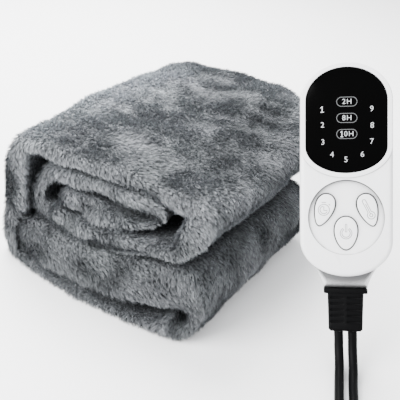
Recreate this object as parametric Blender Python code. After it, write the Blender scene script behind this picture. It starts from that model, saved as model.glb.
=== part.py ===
"""Electric heated blanket: one plush blanket folded into a package, its control handset with three
push buttons, and the mains lead and blanket lead that leave the handset, each wound into a coil.

Metres, +Z up. The tables are in millimetres of the package's own frame: its corner is the front left
bottom corner of the folded blanket, X runs along the folded end face, Y into the depth, Z up.
"""

import math
from collections import namedtuple

import bmesh
import bpy
from mathutils import Matrix, Vector

MM = 0.001
GAP = 0.3  # between pieces that touch (mm)

# Where the package's corner lies, so that the origin is under the middle of blanket and handset.
PACKAGE_CORNER = Vector((-132.96, -129.23, 0.0)) * MM

# ---------------------------------------------------------------- folded blanket

# A length of the folded strip that runs across the package. low, high, front and back are the four
# sides of its section, each given at its start, middle and end (mm).
Run = namedtuple("Run", "name from_x to_x low high front back stations")
# A turn joins two lengths round an inner and an outer bulge. A small squareness is boxy, 1 is round.
Turn = namedtuple("Turn", "name inner_x outer_x squareness stations")

FOLDS = (
    Run("bundle", 25, 150, (12.5, 9.5, 20.5), (42, 45, 59.5), (2, 0, 4), (258, 250, 198), 9),
    Turn("lower right turn", 157, 174, 0.65, 9),
    Run("base", 150, 12, (0, 0, 0), (17.5, 8.2, 10.2), (-3, -10, -6), (190, 252, 261), 9),
    Turn("tall left turn", 3, -12.5, 0.5, 11),
    Run("top", 12, 150, (94.5, 98.5, 94.5), (106.5, 109.5, 108.5), (5, 14, 20), (263, 263, 222), 10),
    Turn("upper right turn", 155.5, 174, 0.85, 9),
    Run("under", 143, 37, (63, 47.5, 46), (75, 61.5, 58.5), (2, 0, 2), (202, 252, 258), 9),
    Turn("inner left turn", 32, 20.5, 0.7, 8),
    Run("inner", 41, 133, (82, 82, 78), (93.5, 95, 88.5), (8, 14, 16), (256, 254, 220), 8),
    Turn("inner right turn", 132, 141, 1.0, 7),
    Run("core", 115, 53, (69, 64, 61), (75.2, 79, 79), (10, 8, 8), (217, 246, 251), 7),
)
BUNDLE_END_X, CORE_END_X = 8.5, 45.0  # the round free ends of the strip
END_STEPS = (0.45, 0.75, 0.93, 0.995)  # how far towards its end each closing section stands
LIP_DEPTH = 12.0  # deepest rounding of a front or back edge
LIP_ANGLES = (10, 34, 60, 90)  # where the rounding has its rows
DEPTH_ROWS = (0.13, 0.32, 0.5, 0.68, 0.87)  # rows between the two lips, as parts of the depth
# Soft unevenness of the whole package: direction, height and the two wave lengths (mm).
WAVES = (
    (Vector((0, 0, 1)), 1.5, 74, 96),
    (Vector((1, 0, 0)), 1.3, 88, 61),
    (Vector((0, 1, 0)), 1.6, 57, 83),
)
SETTLED_HEIGHT = 14.0  # below this height the unevenness fades out to the flat underside

Station = namedtuple("Station", "outer inner front back")

# ---------------------------------------------------------------- handset

# The handset's own frame: X to its right, Y up, Z out of its face, from the top of the cord collar.
HANDSET_AT = Vector((259.24, 71.95, 58.71)) * MM
HANDSET_TURN, HANDSET_TILT, HANDSET_ROLL = (math.radians(a) for a in (16.40, 60.46, 14.82))

Outline = namedtuple("Outline", "half_width bottom straight_low straight_high top")
BODY = Outline(32.85, 7.9, 33.7, 134.9, 162.1)
DISPLAY = Outline(28.7, 83.6, 101.9, 134.2, 158.5)
OUTLINE_STEPS = 14  # points on each half ellipse
FACE_Z, PARTING_Z, BACK_Z = 0.0, -8.0, -20.0
FRONT_ROUND, BACK_ROUND = 3.4, 6.0
DISPLAY_RECESS, DISPLAY_THICK = 1.6, 1.15
NECK = ((26.0, 30.0), (23.0, 14.4), (19.6, 8.1), (17.1, 3.2), (16.0, 0.3))  # half width at each height
NECK_FRONT_Z, NECK_BACK_Z = -9.0, -18.6

DISH_AT, DISH_RADIUS = (0.0, 50.6), 27.0
DISH_TOP_DEPTH, DISH_BOTTOM_DEPTH = 2.2, 0.5
CUT_HEIGHT = 4.0  # how far a cutter stands above the face

Button = namedtuple("Button", "name x y half_width half_length lean taper top")
BUTTONS = (
    Button("timer_button", -15.7, 56.0, 6.9, 12.1, 16, 0.20, -0.45),
    Button("heat_button", 15.7, 56.0, 6.9, 12.1, -16, 0.20, -0.45),
    Button("power_button", 0.0, 39.6, 8.5, 12.0, 0, 0.07, -0.15),
)
BUTTON_BOTTOM, POCKET_FLOOR = -4.9, -6.2
BUTTON_STEPS, BUTTON_ROUND = 32, 0.7

COLLAR_SIZE = (31.4, 4.9, 12.0)
BOOT_LENGTH, BOOT_DEPTH, BOOT_Z = 28.1, 10.4, -13.5
BOOT_TOP_WIDTH, BOOT_END_WIDTH = 25.8, 24.4
RIB_ROWS, RIB_PITCH, RIB_GROOVE = 5, 4.4, (10.4, 1.7, 1.5)
RIB_COLUMN_X, FIRST_RIB_Y = 6.3, -8.3

# ---------------------------------------------------------------- leads

LEAD = 6.8  # diameter
EXIT_X = 5.0  # each lead leaves the boot this far from its middle
MAINS_ROUTE = (  # after the exit, down to the surface and along it
    (275.9, 69.7, 19.1), (278.9, 66.2, 13.2), (283.0, 60.5, 7.8), (286.9, 53.3, 4.6),
    (290.2, 45.2, 3.4), (300.0, 22.2, 3.4), (309.2, 0.4, 3.4),
)
BLANKET_ROUTE = (
    (266.2, 66.5, 19.0), (269.0, 63.3, 13.3), (273.1, 57.8, 8.0), (276.9, 50.8, 4.7),
    (280.2, 42.9, 3.4), (291.0, 16.7, 3.4), (301.0, -7.7, 3.4), (309.4, -28.2, 3.4),
)

# A coil is wound inwards in its lower row and back outwards in its upper row.
Coil = namedtuple("Coil", "name x y inner_turn lower_turns")
COILS = (
    Coil("mains_lead_coil", 366.4, -5.0, 30.2, 4),
    Coil("blanket_lead_coil", 278.5, -68.7, 37.2, 2),
)
COIL_STEPS = 56

MAINS_TAIL = ((399.9, 41.3, 10.2), (397.4, 48.2, 9.0), (395.0, 54.8, 7.0))
BLANKET_TAIL = (
    (328.8, -65.5, 10.2), (333.0, -69.9, 8.8), (340.4, -75.2, 6.4), (350.0, -78.0, 6.0),
)
MAINS_PLUG_AT, MAINS_PLUG_HEADING = (394.7, 55.6), 110.0  # cord entry, and heading from +X
CONNECTOR_AT, CONNECTOR_HEADING = (350.9, -78.2), -8.0

PLUG_WIDTH, PLUG_THICK, PLUG_LENGTH, PLUG_TAPER = 35.3, 13.7, 36.0, 14.0
PIN_DIAMETER, PIN_LENGTH, PIN_SPACING = 4.0, 19.0, 18.6
CONNECTOR_WIDTH, CONNECTOR_THICK, CONNECTOR_LENGTH = 24.0, 12.0, 46.0
GRIP_END, NOSE_STEP = 36.0, 2.2  # where the connector's grip ends, and how much its nose steps in
RELIEF_LENGTH = 14.0  # tapered strain relief moulded on plug and connector


# ---------------------------------------------------------------- helpers


def new_collection(name):
    collection = bpy.data.collections.new(name)
    bpy.context.scene.collection.children.link(collection)
    return collection


def empty(name, matrix, parent=None):
    holder = bpy.data.objects.new(name, None)
    PARTS.objects.link(holder)
    holder.parent = parent
    holder.matrix_local = matrix
    return holder


def material(name, colour, roughness, metallic=0.0):
    made = bpy.data.materials.new(name)
    made.use_nodes = True
    shader = made.node_tree.nodes["Principled BSDF"]
    shader.inputs["Base Color"].default_value = (*colour, 1.0)
    shader.inputs["Roughness"].default_value = roughness
    shader.inputs["Metallic"].default_value = metallic
    return made


def object_of(name, mesh_builder, parent, look=None, location=(0, 0, 0)):
    """An object from a bmesh given in millimetres."""
    bmesh.ops.scale(mesh_builder, vec=(MM, MM, MM), verts=mesh_builder.verts)
    bmesh.ops.recalc_face_normals(mesh_builder, faces=mesh_builder.faces)
    mesh = bpy.data.meshes.new(name)
    mesh_builder.to_mesh(mesh)
    mesh_builder.free()
    made = bpy.data.objects.new(name, mesh)
    made.parent = parent
    made.location = Vector(location) * MM
    if look is None:
        CUTTERS.objects.link(made)
        made.hide_render = True
        made.display_type = "WIRE"
        return made
    PARTS.objects.link(made)
    mesh.materials.append(look)
    mesh.shade_smooth()
    mesh.set_sharp_from_angle(angle=math.radians(35))
    return made


def boolean(target, tool, operation):
    modifier = target.modifiers.new(f"{operation.lower()} {tool.name}", "BOOLEAN")
    modifier.operation = operation
    modifier.object = tool


def plate(outline, low, high, bevel_low=0.0, bevel_high=0.0, segments=4):
    """A flat outline raised from low to high, with either rim rounded."""
    build = bmesh.new()
    base = build.faces.new([build.verts.new((x, y, low)) for x, y in outline])
    raised = bmesh.ops.extrude_face_region(build, geom=[base])["geom"]
    moved = [v for v in raised if isinstance(v, bmesh.types.BMVert)]
    bmesh.ops.translate(build, vec=(0, 0, high - low), verts=moved)
    for height, width in ((low, bevel_low), (high, bevel_high)):
        if not width:
            continue
        rim = [e for e in build.edges if all(abs(v.co.z - height) < 1e-6 for v in e.verts)]
        bmesh.ops.bevel(
            build, geom=rim, offset=width, segments=segments, profile=0.5,
            affect="EDGES", material=-1,
        )
    return build


def capsule(shape, grow=0.0):
    """The outline of the handset or its display: two half ellipses joined by straight sides."""
    half = shape.half_width + grow
    points = []
    for middle, end in ((shape.straight_high, shape.top), (shape.straight_low, shape.bottom)):
        reach = abs(end - middle) + grow
        start = 0.0 if end > middle else math.pi
        for step in range(OUTLINE_STEPS + 1):
            angle = start + math.pi * step / OUTLINE_STEPS
            points.append((half * math.cos(angle), middle + reach * math.sin(angle)))
    return points


def egg(button, grow=0.0):
    """The outline of a push button: an egg that leans, its broader end up."""
    lean = Matrix.Rotation(math.radians(-button.lean), 2)
    points = []
    for step in range(BUTTON_STEPS):
        angle = 2 * math.pi * step / BUTTON_STEPS
        across = (button.half_width + grow) * math.sin(angle)
        across *= 1 + button.taper * math.cos(angle)
        along = (button.half_length + grow) * math.cos(angle)
        points.append(tuple(lean @ Vector((across, along))))
    return points


def rounded_box(size, round_edge, segments=3):
    build = bmesh.new()
    bmesh.ops.create_cube(build, size=1.0)
    bmesh.ops.scale(build, vec=size, verts=build.verts)
    bmesh.ops.bevel(
        build, geom=build.edges[:], offset=round_edge, segments=segments, profile=0.5,
        affect="EDGES", material=-1,
    )
    return build


def loft(rings):
    """A closed skin over rings of equal length, with both ends capped."""
    build = bmesh.new()
    rows = [[build.verts.new(point) for point in ring] for ring in rings]
    for row, following in zip(rows, rows[1:]):
        for i, corner in enumerate(row):
            build.faces.new((corner, row[i - 1], following[i - 1], following[i]))
    build.faces.new(rows[0])
    build.faces.new(rows[-1])
    return build


# ---------------------------------------------------------------- blanket


def through(values, t):
    """The quadratic through a start, a middle and an end value."""
    start, middle, end = values
    return start * (1 - t) * (1 - 2 * t) + middle * 4 * t * (1 - t) + end * t * (2 * t - 1)


def run_stations(run):
    """Sections of a length. Seen along the strip, its outer side is the one that faces outwards."""
    stations = []
    for step in range(run.stations + 1):
        t = step / run.stations
        x = run.from_x + (run.to_x - run.from_x) * t
        low, high = Vector((x, through(run.low, t))), Vector((x, through(run.high, t)))
        outer, inner = (high, low) if run.to_x > run.from_x else (low, high)
        stations.append(Station(outer, inner, through(run.front, t), through(run.back, t)))
    return stations


def bulge(start, end, bulge_x, squareness, t):
    """A point on a turn that leaves start level, swells to bulge_x and comes back level to end."""
    angle = math.pi * t
    swept = (1 - math.cos(angle)) / 2
    x = start.x + (end.x - start.x) * swept
    x += (bulge_x - (start.x + end.x) / 2) * math.sin(angle) ** squareness
    return Vector((x, start.y + (end.y - start.y) * swept))


def turn_stations(turn, before, after):
    stations = []
    for step in range(1, turn.stations):
        t = step / turn.stations
        blend = (1 - math.cos(math.pi * t)) / 2
        stations.append(Station(
            bulge(before.outer, after.outer, turn.outer_x, turn.squareness, t),
            bulge(before.inner, after.inner, turn.inner_x, turn.squareness, t),
            before.front + (after.front - before.front) * blend,
            before.back + (after.back - before.back) * blend,
        ))
    return stations


def end_stations(last, end_x):
    """Sections that close a free end of the strip with a round nose."""
    stations = []
    middle = (last.outer + last.inner) / 2
    for step in END_STEPS:
        shrink = math.sqrt(1 - step * step)
        inset = LIP_DEPTH * (1 - shrink) * 0.6
        along = Vector(((end_x - middle.x) * step, 0))
        stations.append(Station(
            middle + (last.outer - middle) * shrink + along,
            middle + (last.inner - middle) * shrink + along,
            last.front + inset,
            last.back - inset,
        ))
    return stations


def strip_stations():
    runs = {i: run_stations(fold) for i, fold in enumerate(FOLDS) if isinstance(fold, Run)}
    stations = list(reversed(end_stations(runs[0][0], BUNDLE_END_X)))
    for i, fold in enumerate(FOLDS):
        if isinstance(fold, Run):
            stations += runs[i]
        else:
            stations += turn_stations(fold, runs[i - 1][-1], runs[i + 1][0])
    return stations + end_stations(runs[len(FOLDS) - 1][-1], CORE_END_X)


def uneven(point):
    """Moves a point of the package by the soft waves, and not at all on the underside."""
    settled = min(1.0, max(0.0, point.z / SETTLED_HEIGHT))
    moved = point.copy()
    for direction, height, across, along in WAVES:
        phase = 2 * math.pi * (point.y / along + point.z / across)
        sideways = math.sin(2 * math.pi * point.x / across + math.cos(phase))
        moved += direction * height * settled * sideways * math.cos(phase * 0.6)
    return moved


def strip_ring(station):
    """The section of the strip at a station, once round: its outer side, then its inner side."""
    middle = (station.outer + station.inner) / 2
    half = (station.outer - station.inner) / 2
    lip = min(half.length, LIP_DEPTH)
    front, back = station.front + lip, station.back - lip
    rows = []
    for angle in map(math.radians, LIP_ANGLES):
        rows.append((front - lip * math.cos(angle), math.sin(angle)))
    rows += [(front + (back - front) * part, 1.0) for part in DEPTH_ROWS]
    for angle in map(math.radians, reversed(LIP_ANGLES)):
        rows.append((back + lip * math.cos(angle), math.sin(angle)))
    ring = []
    for side, ordered in ((1, rows), (-1, rows[::-1])):
        for y, thickness in ordered:
            at = middle + half * (side * thickness)
            ring.append(uneven(Vector((at.x, y, at.y))))
    return ring


def build_blanket(package, plush):
    blanket = loft([strip_ring(station) for station in strip_stations()])
    object_of("blanket", blanket, package, plush)


# ---------------------------------------------------------------- handset


def build_front_cover(handset, shell):
    cover = plate(capsule(BODY), PARTING_Z + GAP / 2, FACE_Z, bevel_high=FRONT_ROUND)
    front = object_of("handset_front", cover, handset, shell)
    recess = plate(capsule(DISPLAY, grow=GAP), -DISPLAY_RECESS, CUT_HEIGHT)
    boolean(front, object_of("display_recess", recess, handset), "DIFFERENCE")
    dish = bmesh.new()
    bmesh.ops.create_cone(
        dish, cap_ends=True, segments=64, radius1=DISH_RADIUS, radius2=DISH_RADIUS,
        depth=2 * CUT_HEIGHT,
    )
    slope = math.atan2(DISH_TOP_DEPTH - DISH_BOTTOM_DEPTH, 2 * DISH_RADIUS)
    middle_depth = (DISH_TOP_DEPTH + DISH_BOTTOM_DEPTH) / 2
    bmesh.ops.rotate(dish, matrix=Matrix.Rotation(-slope, 3, "X"), verts=dish.verts)
    at = (*DISH_AT, CUT_HEIGHT - middle_depth)
    boolean(front, object_of("dish", dish, handset, location=at), "DIFFERENCE")
    for button in BUTTONS:
        pocket = plate(egg(button, grow=GAP), POCKET_FLOOR, CUT_HEIGHT)
        at = (button.x, button.y, 0)
        cutter = object_of(f"{button.name}_pocket", pocket, handset, location=at)
        boolean(front, cutter, "DIFFERENCE")


def build_back_cover(handset, shell):
    cover = plate(capsule(BODY), BACK_Z, PARTING_Z - GAP / 2, bevel_low=BACK_ROUND)
    back = object_of("handset_back", cover, handset, shell)
    outline = [(x, y) for x, y in NECK] + [(-x, y) for x, y in reversed(NECK)]
    neck = plate(outline, NECK_BACK_Z, NECK_FRONT_Z, bevel_low=1.5, bevel_high=1.5, segments=2)
    boolean(back, object_of("neck", neck, handset), "UNION")


def build_display(handset, glass):
    low = -DISPLAY_RECESS + GAP
    window = plate(capsule(DISPLAY), low, low + DISPLAY_THICK, bevel_high=0.3, segments=2)
    object_of("display_window", window, handset, glass)


def build_buttons(handset, shell):
    for button in BUTTONS:
        key = plate(egg(button), BUTTON_BOTTOM, button.top, bevel_high=BUTTON_ROUND, segments=3)
        object_of(button.name, key, handset, shell, (button.x, button.y, 0))


def build_boot(handset, rubber):
    """The ribbed strain relief: a collar, a tapered body and grooves in two columns on each face."""
    height = COLLAR_SIZE[1]
    collar = rounded_box(COLLAR_SIZE, 1.0, segments=2)
    boot = object_of("cord_boot", collar, handset, rubber, (0, -height / 2, BOOT_Z))
    top, end = -height + 1.5, -height - BOOT_LENGTH
    half_top, half_end = BOOT_TOP_WIDTH / 2, BOOT_END_WIDTH / 2
    outline = ((half_top, top), (half_end, end + 1.5), (half_end - 1.5, end))
    outline += tuple((-x, y) for x, y in reversed(outline))
    body = plate(
        outline, -BOOT_DEPTH / 2, BOOT_DEPTH / 2, bevel_low=2.0, bevel_high=2.0, segments=3
    )
    boolean(boot, object_of("boot_body", body, handset, location=(0, 0, BOOT_Z)), "UNION")
    grooves = bmesh.new()
    for row in range(RIB_ROWS):
        for column in (-1, 1):
            for face in (-1, 1):
                made = bmesh.ops.create_cube(grooves, size=1.0)["verts"]
                bmesh.ops.scale(grooves, vec=RIB_GROOVE, verts=made)
                at = (column * RIB_COLUMN_X, FIRST_RIB_Y - row * RIB_PITCH, face * BOOT_DEPTH / 2)
                bmesh.ops.translate(grooves, vec=at, verts=made)
    cutter = object_of("boot_grooves", grooves, handset, location=(0, 0, BOOT_Z))
    boolean(boot, cutter, "DIFFERENCE")


# ---------------------------------------------------------------- leads


def smooth_route(points, spacing):
    """Points at about this spacing on the Catmull-Rom curve through a route's points."""
    points = [Vector(p) for p in points]
    padded = [2 * points[0] - points[1], *points, 2 * points[-1] - points[-2]]
    fine = []
    for before, start, end, after in zip(padded, padded[1:], padded[2:], padded[3:]):
        for step in range(12):
            t = step / 12
            fine.append(0.5 * (
                2 * start
                + (end - before) * t
                + (2 * before - 5 * start + 4 * end - after) * t * t
                + (3 * start - before - 3 * end + after) * t ** 3
            ))
    fine.append(points[-1])
    lengths = [0.0]
    for start, end in zip(fine, fine[1:]):
        lengths.append(lengths[-1] + (end - start).length)
    count = max(1, round(lengths[-1] / spacing))
    kept = []
    for step in range(count + 1):
        wanted = lengths[-1] * step / count
        nearest = min(range(len(fine)), key=lambda i: abs(lengths[i] - wanted))
        kept.append(fine[nearest])
    return kept


def lead_tube(name, points, package, rubber):
    curve = bpy.data.curves.new(name, "CURVE")
    curve.dimensions = "3D"
    curve.bevel_depth = LEAD / 2 * MM
    curve.bevel_resolution = 2
    curve.use_fill_caps = True
    spline = curve.splines.new("POLY")
    route = smooth_route(points, 2.0 * LEAD)
    spline.points.add(len(route) - 1)
    for point, at in zip(spline.points, route):
        point.co = (*(at * MM), 1.0)
        point.radius = 1.0
    curve.materials.append(rubber)
    tube = bpy.data.objects.new(name, curve)
    PARTS.objects.link(tube)
    tube.parent = package


def build_coil(coil, package, rubber):
    """The outer shape of a wound lead: a ring turned from the outline of its two rows of turns."""
    half = LEAD / 2
    inside = coil.inner_turn - half
    outside = inside + coil.lower_turns * LEAD
    outline = (
        (outside, 1.2), (outside, LEAD - 1.4), (outside - half + 0.4, 2 * LEAD - 1.4),
        (outside - half - 1.2, 2 * LEAD), (inside + half + 1.2, 2 * LEAD),
        (inside + half - 0.4, 2 * LEAD - 1.4), (inside, LEAD - 1.4), (inside, 1.2),
        (inside + 1.2, 0.0), (outside - 1.2, 0.0),
    )
    build = bmesh.new()
    corners = [build.verts.new((radius, 0, height)) for radius, height in outline]
    for i, corner in enumerate(corners):
        build.edges.new((corners[i - 1], corner))
    bmesh.ops.spin(
        build, geom=build.verts[:] + build.edges[:], angle=2 * math.pi, steps=COIL_STEPS,
        axis=(0, 0, 1), cent=(0, 0, 0), use_merge=True,
    )
    object_of(coil.name, build, package, rubber, (coil.x, coil.y, 0))


def build_plug(holder, rubber, brass):
    """A flat two-pin mains plug that lies on its side. Its frame: X along the plug from the lead."""
    half, mid = PLUG_WIDTH / 2, LEAD * 0.75
    end = RELIEF_LENGTH + PLUG_LENGTH
    outline = (
        (0, -mid), (RELIEF_LENGTH, -mid - 1.5), (RELIEF_LENGTH + PLUG_TAPER, -half),
        (end, -half), (end, half), (RELIEF_LENGTH + PLUG_TAPER, half),
        (RELIEF_LENGTH, mid + 1.5), (0, mid),
    )
    body = plate(outline, 0, PLUG_THICK, bevel_low=1.4, bevel_high=1.4, segments=2)
    object_of("mains_plug", body, holder, rubber)
    for side, name in ((1, "mains_pin_left"), (-1, "mains_pin_right")):
        pin = bmesh.new()
        bmesh.ops.create_cone(
            pin, cap_ends=True, segments=20, radius1=PIN_DIAMETER / 2,
            radius2=PIN_DIAMETER / 2, depth=PIN_LENGTH,
        )
        tip = [e for e in pin.edges if all(v.co.z > 0 for v in e.verts)]
        bmesh.ops.bevel(
            pin, geom=tip, offset=1.2, segments=2, profile=0.5, affect="EDGES", material=-1
        )
        bmesh.ops.rotate(pin, matrix=Matrix.Rotation(math.pi / 2, 3, "Y"), verts=pin.verts)
        at = (end + GAP + PIN_LENGTH / 2, side * PIN_SPACING / 2, PLUG_THICK / 2)
        object_of(name, pin, holder, brass, at)


def build_connector(holder, rubber):
    """The connector of the blanket lead: a tapered relief, a grip and a narrower nose."""
    half, mid = CONNECTOR_WIDTH / 2, LEAD * 0.7
    nose = half - NOSE_STEP
    outline = (
        (0, -mid), (RELIEF_LENGTH, -half), (GRIP_END, -half), (GRIP_END, -nose),
        (CONNECTOR_LENGTH, -nose), (CONNECTOR_LENGTH, nose),
        (GRIP_END, nose), (GRIP_END, half), (RELIEF_LENGTH, half), (0, mid),
    )
    body = plate(outline, 0, CONNECTOR_THICK, bevel_low=1.0, bevel_high=1.0, segments=2)
    object_of("blanket_lead_connector", body, holder, rubber)


def build_leads(package, handset_matrix, rubber, brass):
    for name, side, route in (
        ("mains_lead", 1, MAINS_ROUTE),
        ("blanket_lead", -1, BLANKET_ROUTE),
    ):
        boot_end = -COLLAR_SIZE[1] - BOOT_LENGTH - GAP
        exit_at = handset_matrix @ (Vector((side * EXIT_X, boot_end, BOOT_Z)) * MM)
        lead_tube(name, (exit_at / MM, *route), package, rubber)
    for coil in COILS:
        build_coil(coil, package, rubber)
    lead_tube("mains_lead_tail", MAINS_TAIL, package, rubber)
    lead_tube("blanket_lead_tail", BLANKET_TAIL, package, rubber)
    for name, at, heading, build in (
        ("plug_frame", MAINS_PLUG_AT, MAINS_PLUG_HEADING, build_plug),
        ("connector_frame", CONNECTOR_AT, CONNECTOR_HEADING, build_connector),
    ):
        place = Matrix.Translation(Vector((*at, 0)) * MM)
        turn = Matrix.Rotation(math.radians(heading), 4, "Z")
        holder = empty(name, place @ turn, package)
        if build is build_plug:
            build(holder, rubber, brass)
        else:
            build(holder, rubber)


# ---------------------------------------------------------------- assembly

for leftover in list(bpy.data.objects):
    bpy.data.objects.remove(leftover, do_unlink=True)

PARTS = new_collection("electric_heated_blanket")
CUTTERS = new_collection("cutters")


def main():
    plush = material("grey plush", (0.20, 0.215, 0.23), 0.95)
    shell = material("white satin plastic", (0.86, 0.86, 0.87), 0.35)
    glass = material("black display", (0.004, 0.004, 0.005), 0.08)
    rubber = material("black rubber", (0.012, 0.012, 0.013), 0.55)
    brass = material("plated pin", (0.75, 0.72, 0.66), 0.25, metallic=1.0)

    package = empty("package", Matrix.Translation(PACKAGE_CORNER))
    build_blanket(package, plush)

    stand = Matrix.Translation(HANDSET_AT)
    stand = stand @ Matrix.Rotation(HANDSET_TURN, 4, "Z")
    stand = stand @ Matrix.Rotation(HANDSET_TILT, 4, "X")
    stand = stand @ Matrix.Rotation(HANDSET_ROLL, 4, "Z")
    handset = empty("handset", stand, package)
    build_front_cover(handset, shell)
    build_back_cover(handset, shell)
    build_display(handset, glass)
    build_buttons(handset, shell)
    build_boot(handset, rubber)
    build_leads(package, stand, rubber, brass)


main()
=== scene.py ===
"""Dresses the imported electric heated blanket: the folded plush cloth with its pile, the moulded
handset with its marks and push buttons, both leads, and a plain studio round them.

The tables are in millimetres of the package's own frame, as in the part's source: its corner is the
front left bottom corner of the folded blanket, X runs along the folded end face, Y into the depth.
"""

import math
from collections import namedtuple

import bmesh
import bpy
import numpy as np
from mathutils import Matrix, Vector, noise
from mathutils.bvhtree import BVHTree


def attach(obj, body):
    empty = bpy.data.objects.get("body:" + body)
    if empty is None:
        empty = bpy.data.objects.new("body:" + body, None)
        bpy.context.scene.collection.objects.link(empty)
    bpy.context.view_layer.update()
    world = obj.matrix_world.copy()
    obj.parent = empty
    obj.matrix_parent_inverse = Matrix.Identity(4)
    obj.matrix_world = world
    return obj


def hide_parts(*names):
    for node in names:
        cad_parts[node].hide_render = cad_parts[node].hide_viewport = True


bl_info = {
    "name": "Electric heated blanket",
    "version": (1, 0, 0),
    "blender": (4, 5, 0),
    "location": "3D View > Sidebar > Heated blanket",
    "description": "Builds the plush, the handset, the leads and the studio of a heated blanket",
    "category": "Object",
}

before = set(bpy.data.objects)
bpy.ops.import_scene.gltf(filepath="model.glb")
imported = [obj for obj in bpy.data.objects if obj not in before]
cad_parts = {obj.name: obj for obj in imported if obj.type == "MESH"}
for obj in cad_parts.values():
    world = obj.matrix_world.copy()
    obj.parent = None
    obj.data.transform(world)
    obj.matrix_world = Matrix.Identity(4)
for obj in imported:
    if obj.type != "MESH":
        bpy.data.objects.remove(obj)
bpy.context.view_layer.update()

MM = 0.001
GAP = 0.3  # between pieces that touch (mm)
PACKAGE_CORNER = Vector((-132.96, -129.23, 0.0)) * MM

# ---------------------------------------------------------------- folded blanket

# A length of the folded strip that runs across the package. low, high, front and back are the four
# sides of its section, each given at its start, middle and end (mm).
Run = namedtuple("Run", "name from_x to_x low high front back stations")
# A turn joins two lengths round an inner and an outer bulge, each boxy where its square is small
# and round where it is 1, and it is set back from the front (mm).
Turn = namedtuple("Turn", "name inner_x outer_x inner_square outer_square set_back stations")

FOLDS = (
    Run("bundle", 25, 150, (7.4, 6.2, 18.5), (42, 45, 59.5), (-4, -4, 3), (258, 250, 198), 9),
    Turn("lower right turn", 166, 181, 0.5, 0.7, 7, 9),
    Run("base", 153, 12, (0, 0, 0), (9.0, 5.4, 7.0), (-2, -9, -5), (190, 252, 261), 9),
    Turn("tall left turn", 11, -12.5, 0.5, 0.5, 0, 11),
    Run("top", 12, 150, (94.5, 98.5, 94.5), (106.5, 109.5, 108.5), (5, 14, 20), (263, 263, 222), 10),
    Turn("upper right turn", 154, 173, 0.8, 1.15, 0, 9),
    Run("under", 143, 37, (66, 48, 46), (72, 61.5, 58.5), (2, 0, 2), (202, 252, 258), 9),
    Turn("inner left turn", 29.5, 20.0, 0.7, 0.7, 0, 8),
    Run("inner", 41, 127, (80.5, 80, 82), (93.5, 95.6, 93.0), (8, 14, 16), (256, 254, 220), 8),
    Turn("inner right turn", 124, 131, 1.0, 1.0, 0, 7),
    Run("core", 110, 53, (69, 64, 61), (75.2, 76.5, 80), (10, 8, 8), (217, 246, 251), 7),
)
FINER = 3  # sections of the cloth for each section of the solid
BUNDLE_END_X, CORE_END_X = 8.5, 42.0  # the round free ends of the strip
END_STEPS = (0.25, 0.5, 0.7, 0.84, 0.93, 0.98, 1.0)  # how far towards its end each section stands
LIP_DEPTH = 12.0  # deepest rounding of a front or back edge
END_INSET = 0.6  # share of that depth by which a free end draws in
LIP_STEPS, DEPTH_STEPS = 7, 34
# Soft unevenness of the whole package: axis, height and the two wave lengths (mm).
WAVES = ((2, 1.5, 74, 96), (0, 1.3, 88, 61), (1, 1.6, 57, 83))
SETTLED_HEIGHT = 14.0  # below this height the unevenness fades out to the flat underside
PILE_DEPTH = 0.4  # how far the ground cloth lies under the surface of the solid (mm)
PRESSED_PILE = ((3.5, 12.0), (0.15, 1.0))  # the share of that depth near the floor
GROUND_LOWEST = 0.3  # the cloth's height over the floor (mm)
SEAM_MERGE = 1e-4
CREASE_FACING = 1.5  # cloth that faces a crease's side by 1 / 1.5 or more gets its full height

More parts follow.
